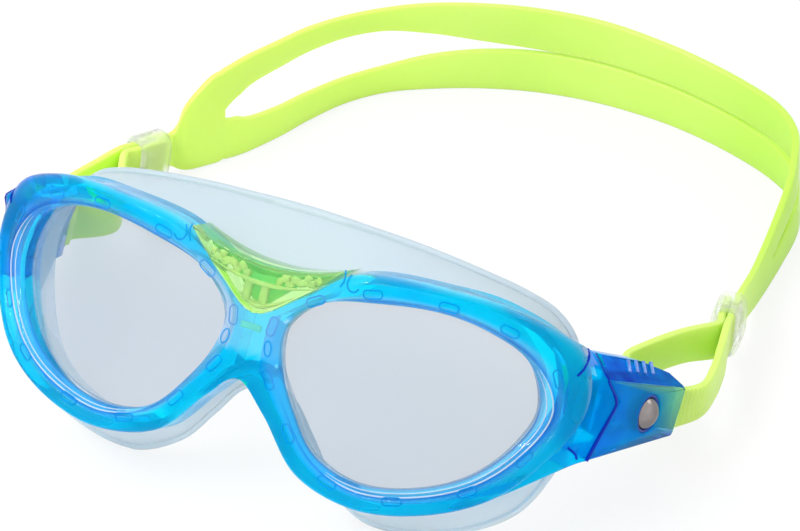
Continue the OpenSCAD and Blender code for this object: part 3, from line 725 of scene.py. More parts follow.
def front_profile(i):
    """The front from the lens seat over the lip and ledge to the outer edge, as shares and depths."""
    s = lip_share(i)
    lip, d0 = LIP_THIN + LIP_WIDE * s, 0.6 + 0.8 * s
    flat = lip + LEDGE_SHARE
    pts = [(0, LENS_SEAT), (0, 0.5 * (LENS_SEAT + d0)), (0, d0), (lip * 0.5, d0 * 0.45), (lip, 0.03),
           (lip + 0.03, -0.06)]
    return pts + [(flat + u * (1 - flat), d) for u, d in RISE]


def frame_station(i):
    """One section through the frame: front, outer wall or ear, and back."""
    q, e = EYE_LINE[i], EDGE_LINE[i]
    s = bridge_share(i)
    pts = []
    for u, d in front_profile(i):
        at = mix(q, e, u)
        swell = NOSE_SWELL * fade(at[1], NOSE_START, NOSE_STOP) * ease(u / 0.3)
        flat = -BRIDGE_CREST * ease(u / LEDGE_SHARE) - swell
        if u > 0:
            d = mix(d, flat, s)
        pts.append(behind(at, float(d)))
    out = unit(e - q) * WALL_DRAFT * around(i, -1.5, 1.2, 1.4)
    front, back = pts[-1], behind(e + out, FRAME_DEPTH)
    wall = [mix(front, back, (k + 1) / (WALL_COUNT + 1)) for k in range(WALL_COUNT)]
    k = from_temple(i)
    reach = ear_reach(k)
    if reach > 0:
        o, b, z = ear_line(min(max((k + STEPS) / (2 * STEPS), 0), 1))
        outer, inner = from_buckle(o, b, z), from_buckle(EAR_INSIDE, b, z)
        ear = [mix(front, outer, t) + EAR_BULGE * math.sin(math.pi * t) for t in (0.25, 0.55, 0.9)]
        ear += [outer, mix(outer, inner, 0.1), inner] + [mix(inner, back, t) for t in (0.4, 0.75)]
        wall = [mix(w, r, reach) for w, r in zip(wall, ear)]
    return pts + wall + [back] + [behind(mix(q, e, u), d) for u, d in BACK_PROFILE]


def front_frame():
    """Both halves of the frame, marked for the painted reflection on the ledge and bridge panel, the painted
    highlight on the upper wall, the painted dark lines at the lip's edges, and the ears' ends that take
    painted shade.
    """
    rings = [frame_station(i) for i in range(STATIONS)]
    m = len(rings[0])
    first = FRONT_COUNT - 1
    ledge, wall, lip_edge_shade, ear_end = [], [], [], []
    for i, r in enumerate(rings):
        s = bridge_share(i)
        for j in range(m):
            # Painted light: the ledge and the bridge's panel turn pale as painted reflection, the upper wall
            # pale as a painted highlight, and dark lines of painted shade run at the lip's edge and the lens
            # seat
            panel = s * fade(r[j][2], *PANEL_FADE)
            high = fade(r[j][2], *PALE_FADE) * fade(j, first - 3, first)
            on_face = j <= first
            ledge.append(1.0 if j < LIP_COUNT else max(panel, LEDGE_FADE.get(j, 0)) if on_face else 0.0)
            lip_edge_shade.append((LIP_LINE_SHADE if j == LIP_COUNT - 1 else SEAT_LINE_SHADE if j < 2 else 0.0) * (1 - s))
            pale = PANEL_REFLECTION * panel if on_face else 0.0
            wall.append(max(pale, high) if j <= first + WALL_COUNT else 0.0)
            ear_end.append(1.0 if j - first in EAR_END and abs(from_temple(i)) <= STEPS else 0.0)

    def inside(i, j):
        return V_TIP * STEPS <= i < NOTCH * STEPS and first <= j < first + WALL_COUNT + 1

    half = np.array([p for r in rings for p in r])
    faces = ring_faces(STATIONS, m, True, inside)
    both = np.vstack([half, half * [-1, 1, 1]])
    faces += [tuple(v + len(half) for v in reversed(f)) for f in faces]
    ob = make_piece("front_frame_moulding", [mask_place(p) for p in both], faces, FRAME_BLUE, 42,
                    marks={"ledge": ledge * 2, "wall": wall * 2, "lip_edge_shade": lip_edge_shade * 2, "ear_end": ear_end * 2})
    me = ob.data
    me.materials.append(EAR_NAVY)
    me.materials.append(EAR_BLUE)
    flag = np.zeros(len(me.vertices), np.float32)
    me.attributes["ear_end"].data.foreach_get("value", flag)
    buckles = {side: buckle_axes(side) for side, hand in SIDES}
    for f in me.polygons:
        zero, turn = buckles[1 if f.center[0] > 0 else -1]
        o, b, z = turn @ (np.array(f.center) - zero)
        # The ears' end walls, seen down the gap to the buckle, take navy as painted shade
        if min(flag[v] for v in f.vertices) > 0.5:
            f.material_index = 1
        elif b > EAR_TONE_B and o > EAR_TONE_O:
            f.material_index = 2
    return ob


TONGUE_FRONT, TONGUE_BACK = (-3.6, -4.7), (-7.2, -2.4)
TONGUE_LEVELS = ((-5.0, 0.07), (-4.75, 0), (5.3, 0), (5.55, 0.07))


def hinge_tongue(side, name):
    """The tongue behind the temple ear, with the knuckle that the buckle swings on."""
    turn = [math.radians(a) for a in range(0, 181, 12)]
    knuckle = [(HINGE_O + KNUCKLE_R * math.cos(a), HINGE_B + KNUCKLE_R * math.sin(a)) for a in turn]
    outline = [TONGUE_FRONT] + knuckle + [TONGUE_BACK]
    mid = np.mean(outline, axis=0)
    verts = []
    for z, inset in TONGUE_LEVELS:
        verts += [mask_place(sided(from_buckle(*mix(q, mid, inset), z), side)) for q in outline]
    n = len(outline)
    faces = [(k * n + i, k * n + (i + 1) % n, (k + 1) * n + (i + 1) % n, (k + 1) * n + i)
             for k in range(3) for i in range(n)]
    faces += [tuple(range(n)), tuple(range(3 * n, 4 * n))]
    return make_piece(name, verts, faces, FRAME_BLUE, 35)


# Lenses, their linings and the face skirt

LENS_MID = np.array([36.0, -6.0])
LENS_LEVELS = [(1, 0.14), (1, 0.07)] + [(t, 0) for t in (1, 0.9, 0.75, 0.6, 0.45, 0.3, 0.15)]


def lens(side, name):
    """A curved lens whose rim sits in the frame's rabbet."""
    verts, faces = [], []
    m = len(LENS_LEVELS)
    for d in (LENS_SEAT + SEAT_GAP, LENS_SEAT + SEAT_GAP + LENS_T):
        for i in range(STATIONS):
            for t, u in LENS_LEVELS:
                q = mix(EYE_LINE[i], EDGE_LINE[i], u) if u else mix(LENS_MID, EYE_LINE[i], t)
                verts.append(behind(q, d))
        verts.append(behind(LENS_MID, d))
    layer = STATIONS * m + 1
    for k in (0, 1):
        for i in range(STATIONS):
            a, b = k * layer + i * m, k * layer + ((i + 1) % STATIONS) * m
            faces += [(a + j, a + j + 1, b + j + 1, b + j) for j in range(m - 1)]
            faces.append((a + m - 1, k * layer + layer - 1, b + m - 1))
    for i in range(STATIONS):
        a, b = i * m, ((i + 1) % STATIONS) * m
        faces.append((a, b, b + layer, a + layer))
    return make_piece(name, [mask_place(sided(v, side)) for v in verts], faces, LENS_CLEAR, 40)


def lens_light_sheet(side, name):
    """A pale sheet between a lens and the skirt that hides the dark inside of the frame; its paleness is
    painted light on the inner wall.
    """
    levels = [(0.02, 4.9), (0.1, 5.6), (0.2, 7.2), (0.34, 9.6), (0.4, 12.0), (0.44, 12.0), (0.38, 9.4),
              (0.24, 6.9), (0.12, 5.2), (0.02, 4.7)]
    verts = [mask_place(sided(face_point(i, u, d), side)) for i in range(STATIONS) for u, d in levels]
    return make_piece(name, verts, ring_faces(STATIONS, len(levels)), LENS_LIGHT_SHEET, 60)


SKIRT_FRONT = np.array([[0, 12.4], [10, 13.4], [21, 17.4], [31, 18.9], [43, 19.2], [57, 17.4], [66, 13.9],
                        [71, 9], [73.6, 0], [71.9, -8], [68.4, -14], [59.4, -23], [46.8, -29], [32.4, -31.7],
                        [18.6, -28], [9.4, -17.8], [4.8, -12], [0, -9.9]])
SKIRT_RIM = np.array([[0, 20, 25.3], [11, 20, 25.1], [22, 20.4, 24.6], [32, 21.2, 23.7], [42, 22.8, 22.3],
                      [51, 26.4, 20.2], [58, 30.4, 17.1], [63, 33.2, 11.3], [65.6, 34, 2], [66.4, 32, -8],
                      [66, 27.6, -17.5], [61, 22.8, -27.4], [48, 20.6, -35.2], [31.5, 20, -38.4],
                      [20, 20, -33.4], [12.6, 19, -24.6], [7, 17.2, -17.4], [0, 15.2, -13.4]])
SKIRT_STEPS = 9
SKIRT_BULGE = 0.9
SKIRT_OUTSIDE = (0, 0.06, 0.18, 0.32, 0.46, 0.6, 0.72, 0.82, 0.9, 0.95)
SKIRT_INSIDE = (0.94, 0.86, 0.74, 0.6, 0.46, 0.32, 0.18, 0.06, 0)
RIM_ROLL = [(0.35, -0.5), (0.8, -0.15), (1.0, 0.3), (0.85, 0.75), (0.45, 0.95), (0.0, 0.9), (-0.35, 0.7)]


def face_skirt():
    """The skirt from the frame's back to its rolled rim, resting on the table."""
    def whole(p):
        mirror = p[-2:0:-1].copy()
        mirror[:, 0] *= -1
        return loop_curve(np.vstack([p, mirror]), SKIRT_STEPS)

    a, b = whole(SKIRT_FRONT), whole(SKIRT_RIM)
    count = len(a)
    rings = []
    for i in range(count):
        d = unit(a[(i + 1) % count] - a[i - 1])
        out = np.array([-d[1], 0, d[0]])
        f, r = behind(a[i], FRAME_DEPTH + SEAT_GAP), b[i]

        def wall(s, inset):
            return mix(f, r, s) + out * (SKIRT_BULGE * math.sin(math.pi * s) - inset)

        pts = [wall(s, 0) for s in SKIRT_OUTSIDE]
        pts += [r + out * SKIRT_LIP * x + np.array([0, SKIRT_T * y, 0]) for x, y in RIM_ROLL]
        pts += [wall(s, SKIRT_T) for s in SKIRT_INSIDE]
        rings.append(pts)
    verts = [np.maximum(mask_place(p), (-1, -1, 0)) for r in rings for p in r]
    return make_piece("face_skirt_silicone", verts, ring_faces(count, len(rings[0])), SKIRT_PALE, 50)


# Head strap: the band round the head, and a run with its tail at each buckle

PATH_STEPS = 8
CROTCH = 3.5
SPLIT_RISE = 0.7
SPLIT_FIRST, SPLIT_LAST = 0.6, 0.15
LAYER_GAP = 0.3
TAIL_SHORT = 0.6
PAST_KEEPER = 4.2
PAST_BAR = 4
PAST_BUCKLE = 3.7
RIB_STATION, RIB_REACH = 17, 2.2

# How the tail and the run hang between buckle and keeper: share of the way, shift, and lean of the run
TAIL_HANG = ((0.75, (-3.2, -0.5, 1.2)), (0.5, (-6.2, -1.5, 1.2)), (0.25, (-7.4, -1.4, 0.6)))
RUN_HANG = ((0.28, (3.6, -2.2, -0.4), 0.05), (0.52, (3.3, -1.2, -0.6), 0.0), (0.77, (1.8, -0.4, -0.4), -0.05))

# The band behind the keepers: place of its lower edge, half its width without the gap, the gap, and lean
REAR_MIDDLE = 99
REAR = [[-71.4, 102.4, 0.4, 9.1, 0, 0], [-68.1, 106.6, 0.2, 12, 0, 0], [-65.8, 110.3, 0.25, 13, 0, 0],
        [-63.4, 114.1, 0, 10.9, 5.8, 0], [-61.2, 118.2, 0, 9.1, 10.2, 0], [-57.6, 126.8, 0, 8.1, 12.2, 0],
        [-54.4, 136.3, 0, 7.5, 12.7, 0], [-49.6, 147.2, 0, 6.9, 12.4, 0], [-42.6, 156.3, 0, 7.2, 11, 0],
        [-33.4, 163.1, 0, 9.3, 7, 0], [-21, 169.8, 0, 11.2, 2.9, 0], [-7, 174.8, 0, 12, 0.9, 0],
        [8.7, 177.3, 0, 11.9, 0.7, 0], [24.5, 177, 0, 11.4, 0.7, 0], [37.4, 174.8, 0, 11.1, 0.7, 0],
        [49.8, 171, 0, 10.9, 0.8, 0], [60.4, 166.2, 0, 10.4, 1.4, 0], [68.4, 160, 0, 9.6, 2, -0.05],
        [72.6, 151.5, 0, 8.6, 2.1, -0.1], [74.5, 144.2, 0, 7.7, 1.9, -0.12],
        [75.3, 134.8, 0, 6.6, 1.1, -0.12], [75.9, 124.3, 0.1, 5.9, 0, -0.1],
        [76.6, 113.5, 1.2, 5.2, 0, -0.05]]

# Columns of the route: middle, direction of the width, half the width and gap
MIDDLE, ACROSS, HALF_WIDTH, GAP = slice(0, 3), slice(3, 6), 6, 7


def station(c, w, h, g):
    """One row of the route."""
    return np.concatenate([c, w, [h, g]])


def keeper_frame(side):
    """Middle of a keeper, then its directions along the strap, outward and up."""
    ct, st = math.cos(KEEPER_TURN[side]), math.sin(KEEPER_TURN[side])
    cf, sf = math.cos(KEEPER_FALL), math.sin(KEEPER_FALL)
    return (np.array(KEEPER_AT[side]), np.array([-st * cf, ct * cf, -sf]), np.array([ct, st, 0]),
            np.array([-st * sf, ct * sf, cf]))


def strap_side(side):
    """The route from the tail's end, round the buckle's bar and back through the keeper."""
    up_mask, up = np.array([0, math.sin(LEAN), math.cos(LEAN)]), np.array([0, 0, 1.0])
    h = STRAP_W / 2
    keeper, along, outward, upright = keeper_frame(side)
    apart, straight = (STRAP_T + LAYER_GAP) / 2, KEEPER_LEN / 2 + PAST_KEEPER

    def held(o, b, z):
        return station(on_table(from_buckle(o, b, z)), up_mask, h, 0)

    def free(c, lean=0.0):
        return station(c, unit([lean, 0, 1]), h, 0)

    def kept(b, layer):
        return station(keeper + along * b + outward * apart * layer, upright, h, 0)

    tail = held(BAR_O - TURN_R - 0.1, BAR_B + PAST_BAR, 1.2)
    tail_out, run_out = kept(-straight, -1)[MIDDLE], kept(-straight, 1)[MIDDLE]
    run_in = on_table(from_buckle(BAR_O + TURN_R + 0.1, BUCKLE_LEN + PAST_BUCKLE, -0.7))
    stops = [kept(b, -1) for b in (KEEPER_LEN / 2 - TAIL_SHORT, 0, -straight / 2, -straight)]
    stops += [free(mix(tail[MIDDLE], tail_out, t) + shift) for t, shift in TAIL_HANG]
    stops.append(tail)
    for a in range(-90, 91, 30):
        t = math.radians(a)
        stops.append(held(BAR_O + TURN_R * math.sin(t), BAR_B - TURN_R * math.cos(t), 0.3 - 0.1 * a / 90))
    stops += [held(BAR_O + TURN_R, BAR_B + PAST_BAR, -0.2), held(BAR_O + TURN_R, BUCKLE_LEN + 0.2, -0.55)]
    stops.append(station(run_in, unit(up_mask + up), h, 0))
    stops += [free(mix(run_in, run_out, t) + shift, lean) for t, shift, lean in RUN_HANG]
    return stops + [kept(b, 1) for b in (-straight, -straight / 2, 0, straight / 2, straight)]


def strap_route():
    """The whole strap as rows of a smooth curve, and how many stations a side and the rear have."""
    rear = []
    for x, y, z, h, g, lean in REAR:
        out = unit([x, y - REAR_MIDDLE, 0])
        w = unit(out * lean + [0, 0, 1])
        rear.append(station(np.array([x, y, z + STRAP_T / 2 * abs(lean)]) + w * (h + g / 2), w, h, g))
    right = [s * np.array([-1, 1, 1, -1, 1, 1, 1, 1]) for s in strap_side(-1)]
    route = np.array(right + rear + strap_side(1)[::-1])
    curve = path_curve(route, PATH_STEPS, 2 * route[0] - route[1], 2 * route[-1] - route[-2])
    return curve, len(right), len(rear)


def band_section(a, b):
    """A band's rounded section from edge a to edge b, as places across the width and the thickness."""
    r = STRAP_T * 0.5
    section = []
    for e, s in ((a, 1), (b, -1)):
        half = [(e + s * 0.55 * r, -1.0), (e + s * 0.16 * r, -0.84), (e, -0.45), (e, 0.45),
                (e + s * 0.16 * r, 0.84), (e + s * 0.55 * r, 1.0)]
        section += half if s > 0 else half[::-1]
    return section


def strap_piece(name, curve, lo, hi, ribbed=None):
    """A stretch of the strap from station lo to hi, split into two bands where the gap opens."""
    mid = curve[:, MIDDLE]
    total = len(curve)
    verts, faces, run, ribs, ids = [], [], [], [], {}
    length = np.concatenate([[0], np.cumsum(np.linalg.norm(np.diff(mid, axis=0), axis=1))])
    opened = next((i for i in range(lo, hi + 1) if curve[i, GAP] > 2 * CROTCH), lo)

    def gap(i):
        least = SPLIT_FIRST if i < opened else SPLIT_LAST
        return curve[i, GAP] / 2 if curve[i, GAP] > least else 0

    def slit(i):
        """Half the opening between the bands, which starts with a rounded end."""
        return math.sqrt(gap(i) * CROTCH) if i < opened else gap(i)

    for i in range(lo, hi + 1):
        t = unit(mid[min(i + 1, total - 1)] - mid[max(i - 1, 0)])
        w = unit(curve[i, ACROSS])
        n = unit(np.cross(t, w))
        h, g = curve[i, HALF_WIDTH], gap(i)
        rise = SPLIT_RISE * min(1, g / 3)
        bands = [(-h - g, rise - slit(i)), (rise + slit(i), h + g)] if g else [(-h, h)]
        for part, (a, b) in enumerate(bands):
            ids[i, part] = len(verts)
            for e, f in band_section(a, b):
                verts.append(standing(mid[i] + w * e + n * f * STRAP_T / 2))
                run.append(length[i] * MM)
                ribs.append(ribbed(i) if ribbed else 0.0)
    m = len(band_section(0, 1))
    top = m // 2 - 1
    for i in range(lo, hi):
        if (gap(i) > 0) == (gap(i + 1) > 0):
            for part in (0, 1):
                if (i, part) in ids:
                    a, b = ids[i, part], ids[i + 1, part]
                    faces += [(a + j, b + j, b + (j + 1) % m, a + (j + 1) % m) for j in range(m)]
    for i in range(lo, hi):
        if (gap(i) > 0) != (gap(i + 1) > 0):
            one, two = (i, i + 1) if gap(i) == 0 else (i + 1, i)
            s, low, high = ids[one, 0], ids[two, 0], ids[two, 1]
            faces += [(s + j, s + j + 1, low + j + 1, low + j) for j in range(top)]
            faces += [(s + j, s + j + 1, high + j + 1, high + j) for j in range(top + 1, m - 1)]
            faces += [(s + top, s + top + 1, high + top + 1, high + top, low + top + 1, low + top)]
            faces += [(s + m - 1, s, low, low + m - 1, high, high + m - 1)]
            faces += [(low + top + 1 + j, low + top + 2 + j, high + top - 1 - j, high + top - j)
                      for j in range(top)]
    for i in (lo, hi):
        for part in (0, 1):
            if (i, part) in ids:
                faces.append(tuple(ids[i, part] + j for j in range(m)))
    return make_piece(name, verts, faces, STRAP_GREEN, 50, merge=False, marks={"run": run, "ribs": ribs})


# Anchor outlines round each opening, laid out by geometry nodes

ANCHOR_SIZES = {"Length": 0.0044, "Width": 0.0019, "Wire": 0.00017}
ANCHORS = (0.04, 0.125, 0.205, 0.285, 0.36, 0.435, 0.52, 0.60, 0.68, 0.76, 0.84, 0.92)
ANCHOR_AT = (0.34, 0.40)
ANCHOR_LIFT = -0.28


def outline_tree():
    """A rounded wire outline on every point, turned by the point's own directions."""
    g = bpy.data.node_groups.new("anchor_outlines", "GeometryNodeTree")
    face = g.interface
    face.new_socket("Geometry", in_out="INPUT", socket_type="NodeSocketGeometry")
    for key, value in ANCHOR_SIZES.items():
        face.new_socket(key, in_out="INPUT", socket_type="NodeSocketFloat").default_value = value
    face.new_socket("Finish", in_out="INPUT", socket_type="NodeSocketMaterial")
    face.new_socket("Geometry", in_out="OUTPUT", socket_type="NodeSocketGeometry")
    given, result = g.nodes.new("NodeGroupInput").outputs, g.nodes.new("NodeGroupOutput")

    def step(kind, **inputs):
        node = g.nodes.new(kind)
        for key, value in inputs.items():
            feed(g, node.inputs[key.replace("_", " ")], value)
        return node

    def direction(key):
        node = step("GeometryNodeInputNamedAttribute", Name=key)
        node.data_type = "FLOAT_VECTOR"
        return node.outputs["Attribute"]

    box = step("GeometryNodeCurvePrimitiveQuadrilateral", Width=given["Length"], Height=given["Width"])
    fillet = step("GeometryNodeFilletCurve", Curve=box.outputs[0],
                  Radius=reckon(g, "MULTIPLY", given["Width"], 0.48))
    fillet.mode = "POLY"
    fillet.inputs["Count"].default_value = 6
    ring = step("GeometryNodeCurvePrimitiveCircle", Resolution=6, Radius=given["Wire"])
    wire = step("GeometryNodeCurveToMesh", Curve=fillet.outputs[0], Profile_Curve=ring.outputs[0])
    turn = step("FunctionNodeAxesToRotation")
    turn.primary_axis, turn.secondary_axis = "Z", "X"
    feed(g, turn.inputs[0], direction("facing"))
    feed(g, turn.inputs[1], direction("heading"))
    place = step("GeometryNodeInstanceOnPoints", Points=given["Geometry"], Instance=wire.outputs[0],
                 Rotation=turn.outputs[0])
    real = step("GeometryNodeRealizeInstances", Geometry=place.outputs[0])
    dressed = step("GeometryNodeSetMaterial", Geometry=real.outputs[0], Material=given["Finish"])
    feed(g, result.inputs[0], dressed.outputs[0])
    return g


def anchor_outlines():
    """The outlines of the lens anchors on the ledge."""
    pos, facing, heading = [], [], []
    base = mask_place([0, 0, 0])
    for side, hand in SIDES:
        for t in ANCHORS:
            i = int(round(t * STATIONS)) % STATIONS
            s = lip_share(i)
            u = ANCHOR_AT[0] * (1 - s) + ANCHOR_AT[1] * s
            h = unit(face_point(i + 1, u, ANCHOR_LIFT) - face_point(i - 1, u, ANCHOR_LIFT))
            f = unit(np.cross(h, face_point(i, u + 0.1, ANCHOR_LIFT) - face_point(i, u - 0.1, ANCHOR_LIFT)))
            if f[1] > 0:
                f = -f
            pos.append(mask_place(sided(face_point(i, u, ANCHOR_LIFT), side)))
            heading.append(unit(mask_place(sided(h, side)) - base))
            facing.append(unit(mask_place(sided(f, side)) - base))
    me = bpy.data.meshes.new("anchor_outlines")
    me.from_pydata([tuple(p) for p in pos], [], [])
    for key, values in (("facing", facing), ("heading", heading)):
        at = me.attributes.new(key, "FLOAT_VECTOR", "POINT")
        at.data.foreach_set("vector", np.array(values, np.float32).ravel())
    ob = put("anchor_outlines", me)
    mod = ob.modifiers.new("outlines", "NODES")
    mod.node_group = outline_tree()
    for item in mod.node_group.interface.items_tree:
        if item.in_out == "INPUT" and item.name == "Finish":
            mod[item.identifier] = SLOT_BLUE
    settle(ob)
    shade(ob.data, 0)
    return ob


# Bridge clip: the insert, its ribs and a row of grip pebbles inside the clear body

CLIP_HALF = 18.9
PEBBLES = [(4.0, 0.0, 0.9), (5.4, 0.9, 1.1), (6.6, -0.3, 1.0), (7.8, 0.7, 1.2), (9.4, 0.2, 1.2),
           (10.6, 1.1, 0.9), (11.6, 0.0, 1.1), (13.0, 0.5, 0.8)]


def clip_arch(x, low, high):
    """Height of an arch that is low in the middle and high at the clip's ends."""
    return low + (high - low) * (x / CLIP_HALF) ** 2


def clip_insert():
    """The darker inner moulding, a little smaller than the clip all round."""
    xs = np.linspace(-14.5, 14.5, 31)
    verts = []
    for y in (2.6, 4.2):
        for x in xs:
            top = clip_arch(x, 13.0, 17.6)
            low = min(max(clip_arch(x, 5.6, 6.2), 5.6 + abs(x) * 0.95 - 1.2), top - 0.3)
            verts += [mask_place((x, y, low)), mask_place((x, y, top))]
    n = len(xs)
    faces = []
    for i in range(n - 1):
        a, b = 2 * i, 2 * n + 2 * i
        faces += [(a, a + 2, a + 3, a + 1), (b + 1, b + 3, b + 2, b)]
        faces += [(a, b, b + 2, a + 2), (a + 1, a + 3, b + 3, b + 1)]
    faces += [(0, 1, 2 * n + 1, 2 * n), (2 * n - 2, 4 * n - 2, 4 * n - 1, 2 * n - 1)]
    return make_piece("clip_insert", verts, faces, CLIP_TEAL, 40)


def clip_ribs():
    """Two upright ribs on a cross rib, and the pebbles along the arch to both sides."""
    ribs = [rounded_block("rib", np.array([x, 0.6, 7.9]), (0.95, 0.9, 2.3), 0, CLIP_BRIGHT)
            for x in (-3.1, 1.1)]
    ribs.append(rounded_block("rib", np.array([-1.0, 0.9, 5.9]), (3.2, 0.5, 0.4), 0, CLIP_BRIGHT, 0.3))
    for side in (-1, 1):
        for k, (x, lift, size) in enumerate(PEBBLES):
            at = np.array([side * x, 0.5, clip_arch(x, 11.6, 16.4) + lift])
            turn = side * (0.5 - 0.11 * k) + 0.3 * (-1) ** k
            ribs.append(rounded_block("pebble", at, (size, 0.8, 0.85), turn, CLIP_BRIGHT, 0.55))
    return joined("clip_ribs", ribs)


def clip_line():
    """Two bright lines inside the clip, thickest in the middle."""
    xs = np.linspace(-13.4, 13.4, 31)
    swell = [math.cos(x / 8.6) ** 2 for x in xs]
    upper = [(x, -0.4, clip_arch(x, 10.4, 15.2)) for x in xs]
    lower = [(x * 0.62, 0.2, 5.3 + abs(x * 0.62) ** 1.6 * 0.14) for x in xs]
    return joined("clip_inner_lines", [tube("line", upper, [0.1 + 0.5 * s for s in swell], CLIP_BRIGHT),
                                       tube("line", lower, [0.1 + 0.55 * s for s in swell], CLIP_BRIGHT)])


# Fine lines and small features on the frame and the buckles

def face_line(name, flat, side, lift, radius):
    """A fine line on the mask's face through points (x, z)."""
    return tube(name, [(side * x, wrap_y(x) - lift, z) for x, z in flat], radius, SLOT_BLUE, 6)


def clip_ends():
    """The dark joint lines where the clip's ends meet the frame, and two outlined pads on the bridge."""
    joint = [(19.0, 18.9), (19.3, 17.6), (19.2, 16.2), (18.6, 15.0)]
    pad = []
    for k in range(25):
        w = 2 * math.pi * k / 24
        pad.append((5.3 + 0.85 * math.cos(w) - 0.25 * math.sin(w), -3.15 + 1.7 * math.sin(w)))
    pieces = []
    for side, hand in SIDES:
        pieces += [face_line("joint", joint, side, 1.35, 0.2), face_line("pad", pad, side, 1.32, 0.14)]
    return joined("bridge_outlines", pieces)


def clip_hooks():
    """Hooked notches where the clip's ends lock into the frame."""
    flat = [(20.6, 18.3), (20.0, 16.4), (20.6, 14.9), (22.0, 14.6), (22.9, 15.6)]
    line = path_curve(np.array(flat), 4, flat[0], flat[-1])
    return joined("clip_hooks", [face_line("hook", line, side, 1.15, 0.2) for side, hand in SIDES])


def bridge_tab():
    """A small moulded tab in the bridge below the clip."""
    return rounded_block("bridge_tab", np.array([0.2, -1.1, 0.6]), (2.5, 0.25, 0.75), 0.0, TAB_GREEN, 0.2)


JOINT_WIDE, JOINT_FINE = 0.46, 0.3
JOINT_SUNK, JOINT_BEFORE = 0.12, 0.42


def chevron_line(side, name):
    """A dark tube of painted shade down the gap between a temple ear and its buckle."""
    steps = np.linspace(0, 1, 33)
    pts = []
    for t in steps:
        o, b, z = ear_line(t)
        pts.append(sided(from_buckle(o - JOINT_SUNK, b - JOINT_BEFORE, z), side))
    return tube(name, pts, [JOINT_WIDE if t < 0.66 else JOINT_FINE for t in steps], EAR_NAVY)


def ear_arcs():
    """The fine lines where the rim runs into each temple ear."""
    lines = (((-5.35, -9.9, 14.1), (-4.0, -11.0, 12.7), (-3.15, -13.45, 10.3), (-3.6, -14.75, 8.6)),
             ((-3.65, -11.35, -8.1), (-2.15, -10.15, -9.2), (-1.75, -9.55, -10.3)))
    pieces = []
    for side, hand in SIDES:
        for line in lines:
            pts = np.array([from_buckle(*q) for q in line])
            pts = path_curve(pts, 6, 2 * pts[0] - pts[1], 2 * pts[-1] - pts[-2])
            pieces.append(tube("arc", sided(pts, side), 0.3, EAR_NAVY, 6))
    return joined("ear_arcs", pieces)


BEAD_FIRST, BEAD_LAST = -46, 8
BEADS = ((0.98, 0.0, 0.17), (0.45, 0.55, 0.11))


def lip_beads():
    """Two fine ridges on the sloping lip at temple and cheek, pale as painted highlight lines."""
    pieces = []
    for side, hand in SIDES:
        for share, lift, size in BEADS:
            pts, radius = [], []
            for k in range(BEAD_FIRST, BEAD_LAST + 1):
                t = lip_share(k % STATIONS)
                pts.append(sided(face_point(k, (LIP_THIN + LIP_WIDE * t) * share, lift * t), side))
                taper = min(1, (k - BEAD_FIRST + 0.5) / 4, (BEAD_LAST + 1 - k) / 4)
                radius.append(0.03 + size * ease(t) * taper)
            pieces.append(tube("bead", pts, radius, BEAD_HIGHLIGHT, 6))
    return joined("lip_beads", pieces)


def button_recess_shade(side, name):
    """A dark ring of painted shade in the recess that the button stands in."""
    radius, depth = 4.25, -0.62
    turns = [2 * math.pi * k / 40 for k in range(41)]
    pts = [from_buckle(depth, BUTTON_B + radius * math.cos(w), BUTTON_Z + radius * math.sin(w))
           for w in turns]
    return tube(name, [sided(p, side) for p in pts], 0.5, RECESS_SHADE)


# Keepers: soft clear loops with an arched outline

# The wall's section from the hole outwards, and half widths, half heights and squareness of hole and body
KEEPER_SECTION = [(0.0, -0.47), (0.12, -0.5), (0.85, -0.5), (0.97, -0.46), (1, -0.38), (1, 0.38),
                  (0.97, 0.46), (0.85, 0.5), (0.12, 0.5), (0, 0.47)]
KEEPER_HOLE = (2.25, 5.1, 6)
KEEPER_BODY = (3.75, 6.6, 3.2)
KEEPER_STEPS = 64


def oval(a, b, power, w):
    """A point of a squarish oval; a larger power gives squarer corners."""
    x, z = math.cos(w), math.sin(w)
    return np.array([a * math.copysign(abs(x) ** (2 / power), x),
                     b * math.copysign(abs(z) ** (2 / power), z)])


def keeper_loop(side, name):
    """A keeper round both layers of the strap."""
    at, along, outward, upright = keeper_frame(side)
    verts = []
    for i in range(KEEPER_STEPS):
        w = 2 * math.pi * i / KEEPER_STEPS
        inner, outer = oval(*KEEPER_HOLE, w), oval(*KEEPER_BODY, w)
        for t, l in KEEPER_SECTION:
            o, z = mix(inner, outer, t)
            verts.append(standing(sided(at + outward * o + along * l * KEEPER_LEN + upright * z, side)))
    return make_piece(name, verts, ring_faces(KEEPER_STEPS, len(KEEPER_SECTION)), KEEPER_CLEAR, 45)


# Buckle covers: the facet's ridge falls by a slope from its height at the arm, and the ribs stand above it

RIDGE_HEIGHT, RIDGE_SLOPE = 7.74, 0.094
RIB_PROUD = 0.25
RIB_RANGE = (3, 19)


def mark_cover(ob, side):
    """Marks a cover's rear end and lower edge, and gives its slanted facet and grip ribs the deeper blue."""
    zero, turn = buckle_axes(side)
    slope = unit(turn.T @ np.array([FACET, 0, 1]))
    me = ob.data
    spots = [turn @ (np.array(v.co) - zero) for v in me.vertices]
    add_marks(me, {"rear": [0.9 * fade(b, 20, 23) * fade(o, -3, -1) for o, b, z in spots],
                   "lip": [fade(b, 27.6, 28.8) for o, b, z in spots],
                   "foot": [fade(z - 0.13 * (b - 5), -8.3, -9.1) for o, b, z in spots]})
    me.materials.append(FACET_NAVY)
    me.materials.append(GRIP_NAVY)
    for f in me.polygons:
        o, b, z = np.mean([spots[v] for v in f.vertices], axis=0)
        above = z + FACET * o > RIDGE_HEIGHT - RIDGE_SLOPE * b + RIB_PROUD
        if above and RIB_RANGE[0] < b < RIB_RANGE[1]:
            f.material_index = 2
        elif np.dot(slope, np.array(f.normal)) > 0.93:
            f.material_index = 1


# Put the part together

